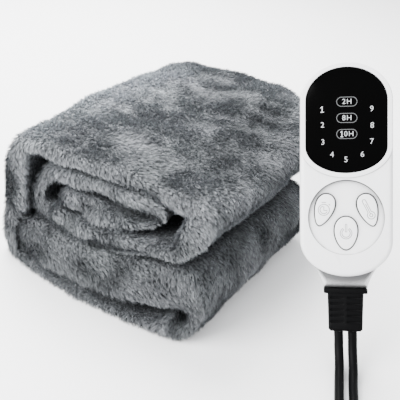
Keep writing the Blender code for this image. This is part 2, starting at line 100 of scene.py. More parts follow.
# Main creases, soft ridges (+) and troughs (-): both ends, half width and height (mm), and the side
# of the cloth that they are on.
Crease = namedtuple("Crease", "start end half_width height facing")
FRONT, UP, RIGHT = (0, -1, 0), (0, 0, 1), (1, 0, 0)
CREASES = [Crease(*row) for row in (
    ((12, 0, 50), (12, 0, 74), 11, 10.0, RIGHT),
    ((12, 0, 14), (12, 0, 34), 9, -5.0, RIGHT),
    ((156, -4, 9), (156, 24, 9), 4.5, 9.0, UP),
    ((-12, 90, 90), (-12, 210, 92), 34, 2.0, (-1, 0, 0)),
    ((0, 90, 105), (4, 212, 108), 34, 3.8, UP),
    ((0, 266, 106), (60, 266, 110), 16, -4.5, UP),
    ((105, 240, 110), (150, 222, 108), 25, 4.0, UP),
    ((-8, -6, 64), (14, 4, 58), 4, -2.4, FRONT),
    ((-8, -4, 46), (12, 4, 44), 4, -2.4, FRONT),
    ((-8, -4, 28), (8, 2, 26), 4, -2.0, FRONT),
    ((157, 8, 86), (157, 14, 100), 10, 9.0, (-1, 0, -0.2)),
    ((12, -2, 10), (80, -2, 8), 8, 3.0, (0, -0.5, -0.85)),
    ((80, -2, 8), (150, 2, 20), 8, 3.0, (0, -0.5, -0.85)),
    ((48, 5, 59), (112, 4, 62), 7, 4.0, (0, -0.3, 0.95)),
    ((46, 7, 64), (104, 8, 67), 7, 4.0, (0, -0.6, -0.8)),
    ((49, 3, 57), (56, 6, 77), 6, 3.5, FRONT),
    ((73, 9, 80), (60, 5, 59), 4.5, -6.0, FRONT),
    ((75, 0, 57), (90, 7, 78), 6, 4.0, FRONT),
    ((97, 8, 64), (101, 8, 80), 3.5, -3.0, FRONT),
    ((106, 6, 62), (111, 8, 78), 3.5, 2.5, FRONT),
    ((116, 8, 66), (119, 9, 78), 3.5, -2.0, FRONT),
    ((80, 8, 92), (84, 8, 84), 6, -2.0, FRONT),
    ((40, 4, 78), (46, 4, 92), 5, 2.0, FRONT),
    ((40, 8, 97), (146, 18, 97), 6, 2.6, (0, -0.6, -0.8)),
    ((40, 8, 92), (128, 16, 95), 5, 2.0, (0, -0.6, 0.8)),
    ((40, 3, 20), (64, 0, 40), 9, 1.6, FRONT),
    ((86, 0, 16), (112, 0, 36), 8, -2.4, FRONT),
    ((118, 0, 20), (126, 0, 44), 7, 2.0, FRONT),
    ((8, 60, 104), (60, 110, 108), 16, -1.4, UP),
    ((60, 60, 108), (120, 130, 109), 20, 1.5, UP),
    ((120, 40, 108), (160, 150, 106), 14, -1.6, UP),
    ((30, 150, 107), (120, 220, 107), 18, 1.2, UP),
    ((172, 30, 96), (172, 120, 84), 12, 1.4, RIGHT),
    ((172, 60, 34), (172, 150, 44), 10, -1.6, RIGHT),
)]

# Broad areas of the top with painted light (+) or painted shade (-), for the light and sheen on the
# brushed pile: x, y and z (mm), radius (mm) and strength (tenths).
PAINTED_LIGHT_PATCHES = (
    (4, 18, 106, 20, 7), (2, 53, 106, 20, 7), (5, 85, 109, 20, 7), (8, 119, 110, 22, 7),
    (11, 156, 111, 22, 7), (15, 197, 110, 24, 6), (58, 179, 109, 18, -1), (83, 186, 110, 20, -1.5),
    (129, 97, 109, 20, -5), (126, 182, 108, 22, -6), (122, 140, 110, 18, -6), (35, 132, 109, 26, 2),
    (27, 86, 107, 22, 1.5), (39, 207, 109, 20, 1.5), (99, 200, 112, 20, -1.5),
)

# How open the cloth lies: the tilt of each ring of rays and its count, then where a ray starts, how
# far it looks, and how near the floor has to be to count as open (metres).
OPEN_RINGS = ((0.35, 4), (0.8, 6), (1.2, 6))
OPEN_START, OPEN_REACH, FLOOR_REACH = 0.0012, 0.045, 0.05
CONVEX_SMOOTHING, CONVEX_FULL = 3, 0.10  # rounds of smoothing, and the turn that counts as an edge

# How light the pile is, as powers of e: what adds to it and what takes away. Apart from the random mottle,
# these are painted light and painted shade.
PAINTED_PATCH_RANGE = (-2.2, 1.2)
MOTTLE = (0.14, 22, 1)  # strength, size (mm) and seed of its noise
# Painted highlights on the edges of folds and on crease ridges, painted shade in hollows and crease
# troughs.
FOLD_EDGE_PAINTED_LIGHT, CREASE_PAINTED_LIGHT, CREASE_PAINTED_RANGE = 0.25, 0.06, (-7.0, 4.0)
# Painted shade on the sides of the cloth that face the front, the back and the left.
FRONT_PAINTED_SHADE, BACK_PAINTED_SHADE, LEFT_PAINTED_SHADE = 0.58, 0.9, 0.6
TONE_LEVEL, TONE_RANGE, GROUND_TONE = 0.66, (0.04, 1.9), 0.7
# Painted shade that darkens the pile lower down and leaves its top lightest.
HEIGHT_PAINTED_SHADE = ((0, 30, 62, 95), (0.85, 0.76, 0.8, 1.0))  # by height over the floor (mm)
# Painted shade deep between the folds, where the cloth lies least open.
SHELTERED_PAINTED_SHADE = ((0.0, 0.2, 0.55), (0.12, 0.5, 1.0))  # by how open the cloth lies

# The pile: the way it is brushed, and the waves (strength, size in mm, seed) and spread of tufts.
BRUSHED = np.array((0.85, -0.55, -0.35))
SHOWN_SHARE = ((0.04, 0.2, 0.5), (0.0, 0.4, 1.0))  # tufts by how open the cloth lies
SWIRLS, SWIRL_SPREAD = ((1.1, 38, 2), (0.35, 12, 3)), 0.14
LEANS, LEAN_SPREAD, LEAN_RANGE = (0.4, 17, 4), 0.13, (0.25, 1.3)
LENGTHS, LENGTH_RANGE = (0.12, 7, 5), (0.85, 1.15)
# Painted sheen: tufts that lean flatter are painted lighter. Each tuft's own lightness also differs at
# random.
LEAN_PAINTED_SHEEN, TUFT_LIGHT = 0.35, (-0.02, 0.24)
TUFT_RADIUS, ROOT_DEPTH, STRAND_LOWEST = 0.8 * MM, 0.7 * MM, 0.3 * MM
# The strands of a tuft: spreads, ranges and shares, each round what the tuft has.
STRAND_LEAN_SPREAD, STRAND_LEAN_RANGE = 0.14, (0.1, 1.4)
STRAND_TWIST, STRAND_TILT = 0.18, 0.35
STRAND_LENGTH, CLUMPING = (0.75, 1.12), (0.1, 0.6)
STRAND_LIGHT, STRAND_LIGHT_RANGE = (-0.05, 0.36), (0.04, 2.2)
PILE_PIECES = 4  # meshes that the strands are joined into

# ---------------------------------------------------------------- handset

# The handset's own frame: X to its right, Y up, Z out of its face, from the top of the cord collar.
HANDSET_AT = Vector((259.24, 71.95, 58.71)) * MM
HANDSET_TURN, HANDSET_TILT, HANDSET_ROLL = (math.radians(a) for a in (16.40, 60.46, 14.82))
HANDSET_FRAME = (
    Matrix.Translation(PACKAGE_CORNER + HANDSET_AT)
    @ Matrix.Rotation(HANDSET_TURN, 4, "Z")
    @ Matrix.Rotation(HANDSET_TILT, 4, "X")
    @ Matrix.Rotation(HANDSET_ROLL, 4, "Z")
)

Outline = namedtuple("Outline", "half_width bottom straight_low straight_high top")
BODY = Outline(32.85, 7.9, 33.7, 134.9, 162.1)
DISPLAY = Outline(28.7, 82.6, 101.9, 134.2, 158.5)
RIM_WIDTH, RIM_HEIGHT, RIM_ROUND = 3.6, 0.8, 0.6
FACE_Z, PARTING_Z, BACK_Z = 0.0, -8.0, -20.0
FRONT_ROUND, BACK_ROUND = 3.4, 6.0
DISPLAY_RECESS, DISPLAY_THICK = 1.6, 1.15
DISPLAY_TOP = GAP - DISPLAY_RECESS + DISPLAY_THICK
NECK = ((26.0, 30.0), (22.6, 14.0), (19.4, 8.4), (17.6, 4.6), (16.4, 1.2), (15.9, -1.1))
NECK_FRONT_Z, NECK_BACK_Z = -9.0, -18.6
DISH_AT, DISH_RADIUS = (0.0, 50.6), 27.0
DISH_TOP_DEPTH, DISH_BOTTOM_DEPTH, DISH_HOLLOW, DISH_ROWS = 2.9, 0.5, 0.6, 10
# The fine groove along the dish's upper rim, from its start through its sweep (degrees).
GROOVE_WIDTH, GROOVE_FLOOR, GROOVE_TOP = 0.45, -0.9, 2.0
GROOVE_START, GROOVE_SWEEP = 20, 140
BUTTON_GAP = 0.9  # between a button and its pocket
CUT_HEIGHT = 4.0  # how far a cutter stands above the face

Button = namedtuple("Button", "name body x y half_width half_length lean taper top")
BUTTONS = (
    Button("timer_button", "timer_key", -15.7, 56.0, 6.35, 11.7, 18, 0.32, -0.45),
    Button("heat_button", "heat_key", 15.7, 56.0, 6.35, 11.7, -18, 0.32, -0.45),
    Button("power_button", "power_key", 0.0, 39.3, 7.9, 11.7, 0, 0.16, -0.15),
)
BUTTON_BOTTOM, POCKET_FLOOR, BUTTON_ROUND = -4.9, -6.2, 0.7

# Marks on the display: text, and where its middle lies on the face (mm). A figure 1 has its own
# shape, also in 10H: its name, its place and half the width of its foot.
DIGITS = (
    ("2", -16.7, 117.1), ("3", -16.4, 104.7), ("4", -9.9, 95.7), ("5", -0.1, 92.1),
    ("6", 11.4, 95.7), ("7", 17.9, 104.9), ("8", 18.2, 116.4), ("9", 17.9, 128.1),
)
HOURS = (("2H", 0.6, 133.7), ("8H", 0.6, 122.0), ("0H", 2.0, 110.5))
FIGURES_ONE = (("heat_mark_1", -16.9, 128.4, 1.25), ("hour_mark_10", -3.0, 110.5, 1.0))
PILL_SIZE = (14.7, 7.0)
PILL_X, PILL_LINE, MARK_THICK, MARK_LIFT = 0.5, 0.42, 0.06, 0.05
ONE_FOOT = 0.5  # height of the foot of the figure 1
HOUR_SHARE, OUTLINE_SHARE = 0.93, 0.2  # of the digits' height, and of the marks' colour
LETTER_SHARE, LETTER_SPACING, LETTER_OFFSET = 0.79, 1.18, -0.03  # height of a letter in its size
ICON_WIDTH, ICON_LIFT = 0.42, 0.02

COLLAR_TOP, COLLAR_SIZE = -1.3, (31.4, 3.9, 12.0)
BOOT_END, BOOT_DEPTH, BOOT_Z = -33.0, 10.4, -13.5
BOOT_TOP_WIDTH, BOOT_END_WIDTH = 25.8, 24.4
RIB_ROWS, RIB_PITCH, RIB_GROOVE = 5, 4.4, (10.4, 1.7, 1.5)
RIB_COLUMN_X, FIRST_RIB_Y = 6.3, -8.3

# ---------------------------------------------------------------- leads

LEAD = 6.8  # diameter
EXIT_X = 5.0  # each lead leaves the boot this far from its middle
WINDING_STEP = 10.0  # degrees between the points of a winding
MAINS_ROUTE = (
    (275.9, 69.7, 19.1), (278.9, 66.2, 13.2), (283.0, 60.5, 7.8), (286.9, 53.3, 4.6),
    (290.2, 45.2, 3.4), (300.0, 22.2, 3.4), (309.2, 0.4, 3.4),
)
BLANKET_ROUTE = (
    (266.2, 66.5, 19.0), (269.0, 63.3, 13.3), (273.1, 57.8, 8.0), (276.9, 50.8, 4.7),
    (280.2, 42.9, 3.4), (291.0, 16.7, 3.4), (301.0, -7.7, 3.4), (309.4, -28.2, 3.4),
)
# A winding: its middle, where it starts and how far it turns (degrees, clockwise where negative), the
# radius and height of each turn, and the angle into a turn from which it moves over to the next.
Winding = namedtuple("Winding", "x y start sweep turns shift_at")
MAINS_WINDING = Winding(
    366.4, -5.0, 203.0, 6 * 360 + 177,
    ((50.6, 3.4), (43.8, 3.4), (37.0, 3.4), (30.2, 3.4), (33.6, 10.2), (40.4, 10.2), (47.2, 10.2)),
    150.0,
)
BLANKET_WINDING = Winding(
    278.5, -68.7, 22.0, -(2 * 360 + 337),
    ((44.0, 3.4), (37.2, 3.4), (40.6, 10.2)),
    150.0,
)
MAINS_TAIL = ((399.9, 41.3, 10.2), (397.4, 48.2, 9.0), (395.0, 54.8, 7.0))
BLANKET_TAIL = (
    (328.8, -65.5, 10.2), (333.0, -69.9, 8.8), (340.4, -75.2, 6.4), (350.0, -78.0, 6.0),
)

# ---------------------------------------------------------------- studio

FLOOR_HALF = 4.0
SKY_COLOUR = (0.97, 0.98, 1.0, 1.0)
LIGHTS_AIM = (150, 100, 50)
LIGHTS = (("key_light", (-450, 500, 900), 0.7), ("fill_light", (-350, -700, 600), 0.8))
CAMERA_AT = Vector((338.32, -321.60, 349.62)) * MM
CAMERA_DOWN, CAMERA_ROUND, CAMERA_ROLL = (math.radians(a) for a in (31.61, 27.77, 9.02))
CAMERA_LENS, CAMERA_SENSOR = 60.28, 36.0


# ---------------------------------------------------------------- settings


def colour_setting(name, description, default):
    return bpy.props.FloatVectorProperty(
        name=name, description=description, default=default, size=3, min=0, max=1, subtype="COLOR",
    )


def length_setting(name, description, default, low, high):
    return bpy.props.FloatProperty(
        name=name, description=description, default=default, min=low, max=high, unit="LENGTH",
    )


def count_setting(name, description, default, low, high):
    return bpy.props.IntProperty(
        name=name, description=description, default=default, min=low, max=high,
    )


def power_setting(name, description, default):
    return bpy.props.FloatProperty(
        name=name, description=description, default=default, min=0, unit="POWER",
    )


class BlanketSettings(bpy.types.PropertyGroup):
    """Sizes and colours of the plush."""

    pile_length: length_setting("Pile length", "Length of one hair", 0.005, 0.002, 0.012)
    hair_width: length_setting("Hair width", "Width of a hair's root", 0.00034, 0.0002, 0.001)
    tufts: count_setting("Tufts", "Number of tufts on what shows of the cloth", 75000, 1000, 80000)
    hairs: count_setting("Strands in a tuft", "Number of strands in each tuft", 10, 3, 16)
    lean: bpy.props.FloatProperty(
        name="Lean", description="Angle between the strands and straight up",
        default=math.radians(60), min=0, max=math.radians(80), subtype="ANGLE",
    )
    # The root colour is painted shade deep in the pile, near black; the tip colour is the plush's own.
    root_painted_shade_colour: colour_setting("Root colour", "Colour deep in the pile", (0.016, 0.0175, 0.020))
    tip_colour: colour_setting("Tip colour", "Colour at the tips of the pile", (0.47, 0.495, 0.52))


class HandsetSettings(bpy.types.PropertyGroup):
    """Sizes and colours of the handset."""

    shell_colour: colour_setting("Shell colour", "Covers and buttons", (0.88, 0.88, 0.89))
    mark_colour: colour_setting("Mark colour", "Colour of the display's marks", (0.42, 0.43, 0.44))
    digit_height: length_setting("Digit height", "Heat level digits", 0.0045, 0.002, 0.008)


class LeadSettings(bpy.types.PropertyGroup):
    """Colours of the leads and their rubber parts."""

    rubber_colour: colour_setting("Rubber colour", "Leads and boot", (0.002, 0.002, 0.0022))
    pin_colour: colour_setting("Pin colour", "Colour of the plated pins", (0.75, 0.72, 0.66))


class StudioSettings(bpy.types.PropertyGroup):
    """Floor and lights."""

    floor_colour: colour_setting("Floor colour", "Colour of the plain floor", (0.97, 0.97, 0.97))
    key_power: power_setting("Key light", "Power of the large light above", 46.0)
    fill_power: power_setting("Fill light", "Power of the light beside the camera", 40.0)
    sky_strength: bpy.props.FloatProperty(
        name="Sky", description="Strength of the even light all round", default=1.8, min=0,
    )


# ---------------------------------------------------------------- mesh helpers

SHARP_ANGLE = 35  # edges that turn by more than this stay sharp in the shading (degrees)
SOFTEN_ANGLE = 32  # edges that turn by more than this are softened after a cut (degrees)
ON_RIM, MERGE = 1e-6, 1e-5  # how near counts as on a rim, and as one point (mm)


def in_package(point):
    """A point of the package's tables (mm) in metres of the model."""
    return PACKAGE_CORNER + Vector(point) * MM


def between(start, end, share):
    """The value at this share of the way from start to end."""
    return start + (end - start) * share


def new_object(name, data):
    made = bpy.data.objects.new(name, data)
    bpy.context.scene.collection.objects.link(made)
    return made


def new_piece(name, data, look, body):
    """An object with its material, which rides on its body."""
    data.materials.append(look)
    piece = new_object(name, data)
    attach(piece, body)
    return piece


def outward_mesh(name, build):
    """The mesh of a closed bmesh, with its faces pointing outwards."""
    bmesh.ops.recalc_face_normals(build, faces=build.faces)
    mesh = bpy.data.meshes.new(name)
    build.to_mesh(mesh)
    build.free()
    return mesh


def piece_of(name, build, look, body, place=None, sharp=SHARP_ANGLE):
    """A piece from a bmesh in millimetres, put in place."""
    bmesh.ops.scale(build, vec=(MM, MM, MM), verts=build.verts)
    mesh = outward_mesh(name, build)
    if place is not None:
        mesh.transform(place)
    mesh.shade_smooth()
    mesh.set_sharp_from_angle(angle=math.radians(sharp))
    return new_piece(name, mesh, look, body)


def applied(holder, *helpers):
    """The bmesh of an object with its modifiers applied. The object and its helpers are removed."""
    bpy.context.view_layer.update()
    finished = holder.evaluated_get(bpy.context.evaluated_depsgraph_get())
    build = bmesh.new()
    build.from_mesh(finished.to_mesh())
    finished.to_mesh_clear()
    for leftover in (holder, *helpers):
        bpy.data.objects.remove(leftover, do_unlink=True)
    return build


def cut(build, tools, soften):
    """The bmesh with each tool's bmesh cut out or joined on, and its sharp edges softened (mm)."""
    target = new_object("cut_target", outward_mesh("cut_target", build))
    helpers = []
    for operation, tool in tools:
        helper = new_object("cut_tool", outward_mesh("cut_tool", tool))
        helpers.append(helper)
        modifier = target.modifiers.new("cut", "BOOLEAN")
        modifier.operation = operation
        modifier.object = helper
    modifier = target.modifiers.new("soften", "BEVEL")
    modifier.width = soften
    modifier.segments = 2
    modifier.limit_method = "ANGLE"
    modifier.angle_limit = math.radians(SOFTEN_ANGLE)
    return applied(target, *helpers)


def moved(build, at):
    bmesh.ops.translate(build, vec=at, verts=build.verts)
    return build


def thicken(build, faces, height):
    """Raises flat faces into a solid of this height."""
    raised = bmesh.ops.extrude_face_region(build, geom=faces)["geom"]
    top = [v for v in raised if isinstance(v, bmesh.types.BMVert)]
    bmesh.ops.translate(build, vec=(0, 0, height), verts=top)


def round_off(build, edges, width, segments):
    bmesh.ops.bevel(
        build, geom=edges, offset=width, segments=segments, profile=0.5, affect="EDGES", material=-1,
    )


def plate(outline, low, high, bevel_low=0.0, bevel_high=0.0, segments=4):
    """A flat outline raised from low to high, with either rim rounded."""
    build = bmesh.new()
    base = build.faces.new([build.verts.new((x, y, low)) for x, y in outline])
    thicken(build, [base], high - low)
    for height, width in ((low, bevel_low), (high, bevel_high)):
        if width:
            rim = [e for e in build.edges if all(abs(v.co.z - height) < ON_RIM for v in e.verts)]
            round_off(build, rim, width, segments)
    return build


def capsule(shape, grow=0.0, steps=40):
    """The outline of the handset or its display: two half ellipses joined by straight sides."""
    half = shape.half_width + grow
    points = []
    for middle, end in ((shape.straight_high, shape.top), (shape.straight_low, shape.bottom)):
        reach = abs(end - middle) + grow
        start = 0.0 if end > middle else math.pi
        for step in range(steps + 1):
            angle = start + math.pi * step / steps
            points.append((half * math.cos(angle), middle + reach * math.sin(angle)))
    return points


def egg(button, grow=0.0, steps=64):
    """The outline of a push button: an egg that leans, its broader end up."""
    lean = Matrix.Rotation(math.radians(-button.lean), 2)
    points = []
    for step in range(steps):
        angle = 2 * math.pi * step / steps
        across = (button.half_width + grow) * math.sin(angle) * (1 + button.taper * math.cos(angle))
        along = (button.half_length + grow) * math.cos(angle)
        points.append(tuple(lean @ Vector((across, along))))
    return points


def arc(radius, start, end, steps, x=0.0, y=0.0):
    """Points on an arc between two angles (degrees)."""
    points = []
    for step in range(steps + 1):
        angle = math.radians(between(start, end, step / steps))
        points.append((x + radius * math.cos(angle), y + radius * math.sin(angle)))
    return points


def turned(profile, start=0, sweep=360, steps=96):
    """A solid spun round Z from a profile of radius and height (mm), all round or in part."""
    build = bmesh.new()
    line = [build.verts.new((radius, 0.0, height)) for radius, height in profile]
    on_axis = profile[0][0] == 0
    for this, following in zip(line, line[1:] if on_axis else line[1:] + line[:1]):
        build.edges.new((this, following))
    bmesh.ops.rotate(build, matrix=Matrix.Rotation(math.radians(start), 3, "Z"), verts=line)
    bmesh.ops.spin(
        build, geom=build.verts[:] + build.edges[:], axis=(0, 0, 1), angle=math.radians(sweep),
        steps=round(steps * sweep / 360), use_merge=sweep == 360,
    )
    bmesh.ops.remove_doubles(build, verts=build.verts, dist=MERGE)
    bmesh.ops.holes_fill(build, edges=[e for e in build.edges if e.is_boundary])
    return build


def round_line(name, width, smoothness, strokes):
    """A line of this width along each stroke, which is a row of points and whether it closes."""
    curve = bpy.data.curves.new(name, "CURVE")
    curve.dimensions = "3D"
    curve.bevel_depth = width / 2
    curve.bevel_resolution = smoothness
    curve.use_fill_caps = True
    for points, closed in strokes:
        spline = curve.splines.new("POLY")
        spline.points.add(len(points) - 1)
        spline.use_cyclic_u = closed
        for point, at in zip(spline.points, points):
            point.co = (*at, 1.0)
    return curve


def rounded_box(size, edge, at, segments=4):
    build = bmesh.new()
    bmesh.ops.create_cube(build, size=1.0)
    bmesh.ops.scale(build, vec=size, verts=build.verts)
    round_off(build, build.edges[:], edge, segments)
    return moved(build, at)


# ---------------------------------------------------------------- materials


def add_node(tree, kind, place, inputs=None, **settings):
    """A shader node with its settings and the values of its inputs."""
    node = tree.nodes.new(f"ShaderNode{kind}")
    node.location = place
    for name, value in settings.items():
        setattr(node, name, value)
    for name, value in (inputs or {}).items():
        node.inputs[name].default_value = value
    return node


def wire(tree, *links):
    """Links nodes: each row names a node and its output, then a node and its input."""
    for source, output, target, socket in links:
        tree.links.new(source.outputs[output], target.inputs[socket])


def effect(name, inputs, *outputs):
    """An empty node group with its input and output nodes. A colour has a tuple as its default."""
    group = bpy.data.node_groups.new(name, "ShaderNodeTree")
    for socket, default in inputs.items():
        kind = "NodeSocketColor" if isinstance(default, tuple) else "NodeSocketFloat"
        made = group.interface.new_socket(name=socket, in_out="INPUT", socket_type=kind)
        made.default_value = default
    for socket in outputs:
        kind = "NodeSocketColor" if socket == "Color" else "NodeSocketFloat"
        group.interface.new_socket(name=socket, in_out="OUTPUT", socket_type=kind)
    return group, group.nodes.new("NodeGroupInput"), group.nodes.new("NodeGroupOutput")


def add_effect(tree, make, place, inputs):
    """A material's own use of a node group, which is built once."""
    name = make.__name__.replace("_", " ")
    group = bpy.data.node_groups.get(name) or make(name)
    return add_node(tree, "Group", place, inputs, node_tree=group)


def new_look(name, sockets):
    """A material with its node tree and its shader, whose sockets are set."""
    look = bpy.data.materials.new(name)
    look.use_nodes = True
    shader = look.node_tree.nodes["Principled BSDF"]
    for socket, value in sockets.items():
        shader.inputs[socket].default_value = value
    return look, look.node_tree, shader


def moulded_grain(name):
    """Fine grain and faint blotches of a moulded surface: a height and a mask for its gloss."""
    group, given, result = effect(name, {"Grain": 2500.0, "Blotch": 60.0}, "Height", "Blotches")
    place = add_node(group, "TexCoord", (-600, 0))
    grain = add_node(group, "TexNoise", (-300, 100), {"Detail": 2.0})
    blotch = add_node(group, "TexNoise", (-300, -200), {"Detail": 3.0})
    wire(
        group,
        (place, "Object", grain, "Vector"), (given, "Grain", grain, "Scale"),
        (place, "Object", blotch, "Vector"), (given, "Blotch", blotch, "Scale"),
        (grain, "Fac", result, "Height"), (blotch, "Fac", result, "Blotches"),
    )
    return group


def moulded_painted_shade(name):
    """Moulded colour with painted shade in narrow gaps and on walls turned away from the face."""
    white = (1, 1, 1, 1)
    group, given, result = effect(name, {"Color": white, "Reach": 0.006, "Darkest": 0.4}, "Color")
    face_axis = HANDSET_FRAME.col[2][:3]
    gap_shade = add_node(group, "AmbientOcclusion", (-700, 100))
    depth = add_node(group, "MapRange", (-450, 100), {"From Max": 0.97, "To Min": 0.12, "To Max": 1.0})
    place = add_node(group, "TexCoord", (-900, -150))
    facing = add_node(group, "VectorMath", (-700, -150), {1: face_axis}, operation="DOT_PRODUCT")
    wall_shade = add_node(
        group, "MapRange", (-450, -150),
        {"From Min": 0.0, "From Max": 0.7, "To Min": 0.5, "To Max": 1.0},
    )
    both = add_node(group, "Math", (-250, 0), operation="MULTIPLY")
    shade = add_node(group, "HueSaturation", (-50, 0))
    wire(
        group,
        (given, "Reach", gap_shade, "Distance"), (gap_shade, "AO", depth, "Value"),
        (given, "Darkest", depth, "From Min"),
        (place, "Normal", facing, 0), (facing, "Value", wall_shade, "Value"),
        (depth, "Result", both, 0), (wall_shade, "Result", both, 1),
        (given, "Color", shade, "Color"), (both, "Value", shade, "Value"),
        (shade, "Color", result, "Color"),
    )
    return group


def moulded(
    name, colour, roughness, bump, grain,
    specular=0.5, metallic=0.0, spread=0.08, reach=0.0, darkest_painted_shade=0.4,
):
    """Moulded plastic, rubber or plated metal with fine grain and uneven gloss, and painted shade in gaps
    and on walls turned away from the face where a reach is given.
    """
    colour = (*colour, 1.0)
    look, tree, shader = new_look(
        name, {"Base Color": colour, "Metallic": metallic, "Specular IOR Level": specular},
    )
    # painted shade in gaps and on the side walls
    if reach:
        inputs = {"Color": colour, "Reach": reach, "Darkest": darkest_painted_shade}
        shade = add_effect(tree, moulded_painted_shade, (-400, 300), inputs)
        wire(tree, (shade, "Color", shader, "Base Color"))
    surface = add_effect(tree, moulded_grain, (-700, 0), {"Grain": grain})
    gloss = add_node(
        tree, "MapRange", (-400, 100), {"To Min": roughness - spread, "To Max": roughness + spread},
    )
    relief_node = add_node(tree, "Bump", (-400, -200), {"Strength": bump, "Distance": 0.0002})
    wire(
        tree,
        (surface, "Blotches", gloss, "Value"), (gloss, "Result", shader, "Roughness"),
        (surface, "Height", relief_node, "Height"), (relief_node, "Normal", shader, "Normal"),
    )
    return look


def plush_tone(name):
    """The colour of the plush: painted shade deep down, lighter up the pile towards its tips, and how
    light its tuft is painted.
    """
    colours = {"Root": (0, 0, 0, 1), "Tip": (1, 1, 1, 1)}
    group, given, result = effect(name, {**colours, "Height": 0.5, "Light": 0.5}, "Color")
    place = add_node(group, "TexCoord", (-900, -200))
    tint = add_node(group, "TexNoise", (-700, -200), {"Scale": 28.0, "Detail": 3.0})
    blend = add_node(group, "Mix", (-400, 0), data_type="RGBA")
    hue = add_node(
        group, "MapRange", (-500, -250),
        {"From Min": 0.35, "From Max": 0.65, "To Min": 0.485, "To Max": 0.515},
    )
    shade = add_node(group, "HueSaturation", (-200, 0))
    wire(
        group,
        (place, "Object", tint, "Vector"), (tint, "Fac", hue, "Value"),
        (given, "Height", blend, "Factor"), (given, "Root", blend, "A"), (given, "Tip", blend, "B"),
        (blend, "Result", shade, "Color"), (hue, "Result", shade, "Hue"),
        (given, "Light", shade, "Value"), (shade, "Color", result, "Color"),
    )
    return group


def plush(name, settings, is_pile):
    """Dyed polyester plush: the pile's strands, or the ground cloth under them."""
    look, tree, shader = new_look(name, {
        "Specular IOR Level": 0.1, "Sheen Weight": 0.08, "Sheen Roughness": 0.45,
        "Sheen Tint": (0.85, 0.93, 1.0, 1.0), "Roughness": 0.55 if is_pile else 0.9,
    })
    colours = {"Root": (*settings.root_painted_shade_colour, 1.0), "Tip": (*settings.tip_colour, 1.0)}
    tone = add_effect(tree, plush_tone, (-300, 100), colours)
    light = add_node(tree, "Attribute", (-700, 0), attribute_name="tuft_tone_and_painted_light")
    wire(tree, (light, "Fac", tone, "Light"), (tone, "Color", shader, "Base Color"))
    if is_pile:
        height = add_node(tree, "Attribute", (-700, 200), attribute_name="pile_height")
        wire(tree, (height, "Fac", tone, "Height"))
        return look
    place = add_node(tree, "TexCoord", (-900, -200))
    fibres = add_node(
        tree, "TexNoise", (-700, -200), {"Scale": 420.0, "Detail": 4.0, "Roughness": 0.65},
    )
    # The ground cloth takes the darker colours from deep in the pile, painted shade, in noise flecks.
    depth = add_node(
        tree, "MapRange", (-500, -100),
        {"From Min": 0.35, "From Max": 0.7, "To Min": 0.0, "To Max": 0.55},
    )
    nap = add_node(tree, "Bump", (-300, -300), {"Strength": 0.9, "Distance": 0.0012})
    wire(
        tree,
        (place, "Object", fibres, "Vector"), (fibres, "Fac", depth, "Value"),
        (depth, "Result", tone, "Height"),
        (fibres, "Fac", nap, "Height"), (nap, "Normal", shader, "Normal"),
    )
    return look


# ---------------------------------------------------------------- blanket

Station = namedtuple("Station", "outer inner front back")


def through(values, t):
    """The quadratic through a start, a middle and an end value."""
    start, middle, end = values
    return start * (1 - t) * (1 - 2 * t) + middle * 4 * t * (1 - t) + end * t * (2 * t - 1)


def run_stations(run):
    """Sections of a length. Seen along the strip, its outer side is the one that faces outwards."""
    stations = []
    count = run.stations * FINER
    for step in range(count + 1):
        t = step / count
        x = between(run.from_x, run.to_x, t)
        low, high = Vector((x, through(run.low, t))), Vector((x, through(run.high, t)))
        outer, inner = (high, low) if run.to_x > run.from_x else (low, high)
        stations.append(Station(outer, inner, through(run.front, t), through(run.back, t)))
    return stations


def bulge(start, end, bulge_x, squareness, t):
    """A point on a turn that leaves start level, swells to bulge_x and comes back level to end."""
    angle = math.pi * t
    swept = (1 - math.cos(angle)) / 2
    x = between(start.x, end.x, swept)
    x += (bulge_x - (start.x + end.x) / 2) * math.sin(angle) ** squareness
    return Vector((x, between(start.y, end.y, swept)))


def turn_stations(turn, before, after):
    """Sections of a turn between the last section of one length and the first of the next."""
    stations = []
    count = turn.stations * FINER
    for step in range(1, count):
        t = step / count
        blend = (1 - math.cos(math.pi * t)) / 2
        set_back = turn.set_back * math.sin(math.pi * t)
        stations.append(Station(
            bulge(before.outer, after.outer, turn.outer_x, turn.outer_square, t),
            bulge(before.inner, after.inner, turn.inner_x, turn.inner_square, t),
            between(before.front, after.front, blend) + set_back,
            between(before.back, after.back, blend),
        ))
    return stations


def end_stations(last, end_x):
    """Sections that close a free end of the strip with a round nose."""
    stations = []
    middle = (last.outer + last.inner) / 2
    for step in END_STEPS:
        shrink = math.sqrt(1 - step * step)
        inset = LIP_DEPTH * (1 - shrink) * END_INSET
        along = Vector(((end_x - middle.x) * step, 0))
        sides = (last.outer, last.inner)
        outer, inner = (middle + (side - middle) * shrink + along for side in sides)
        stations.append(Station(outer, inner, last.front + inset, last.back - inset))
    return stations


def strip_stations():
    """All sections of the folded strip, from the bundle's free end to the core's."""
    runs = {i: run_stations(fold) for i, fold in enumerate(FOLDS) if isinstance(fold, Run)}
    stations = list(reversed(end_stations(runs[0][0], BUNDLE_END_X)))
    for i, fold in enumerate(FOLDS):
        if isinstance(fold, Run):
            stations += runs[i]
        else:
            stations += turn_stations(fold, runs[i - 1][-1], runs[i + 1][0])
    return stations + end_stations(runs[len(FOLDS) - 1][-1], CORE_END_X)


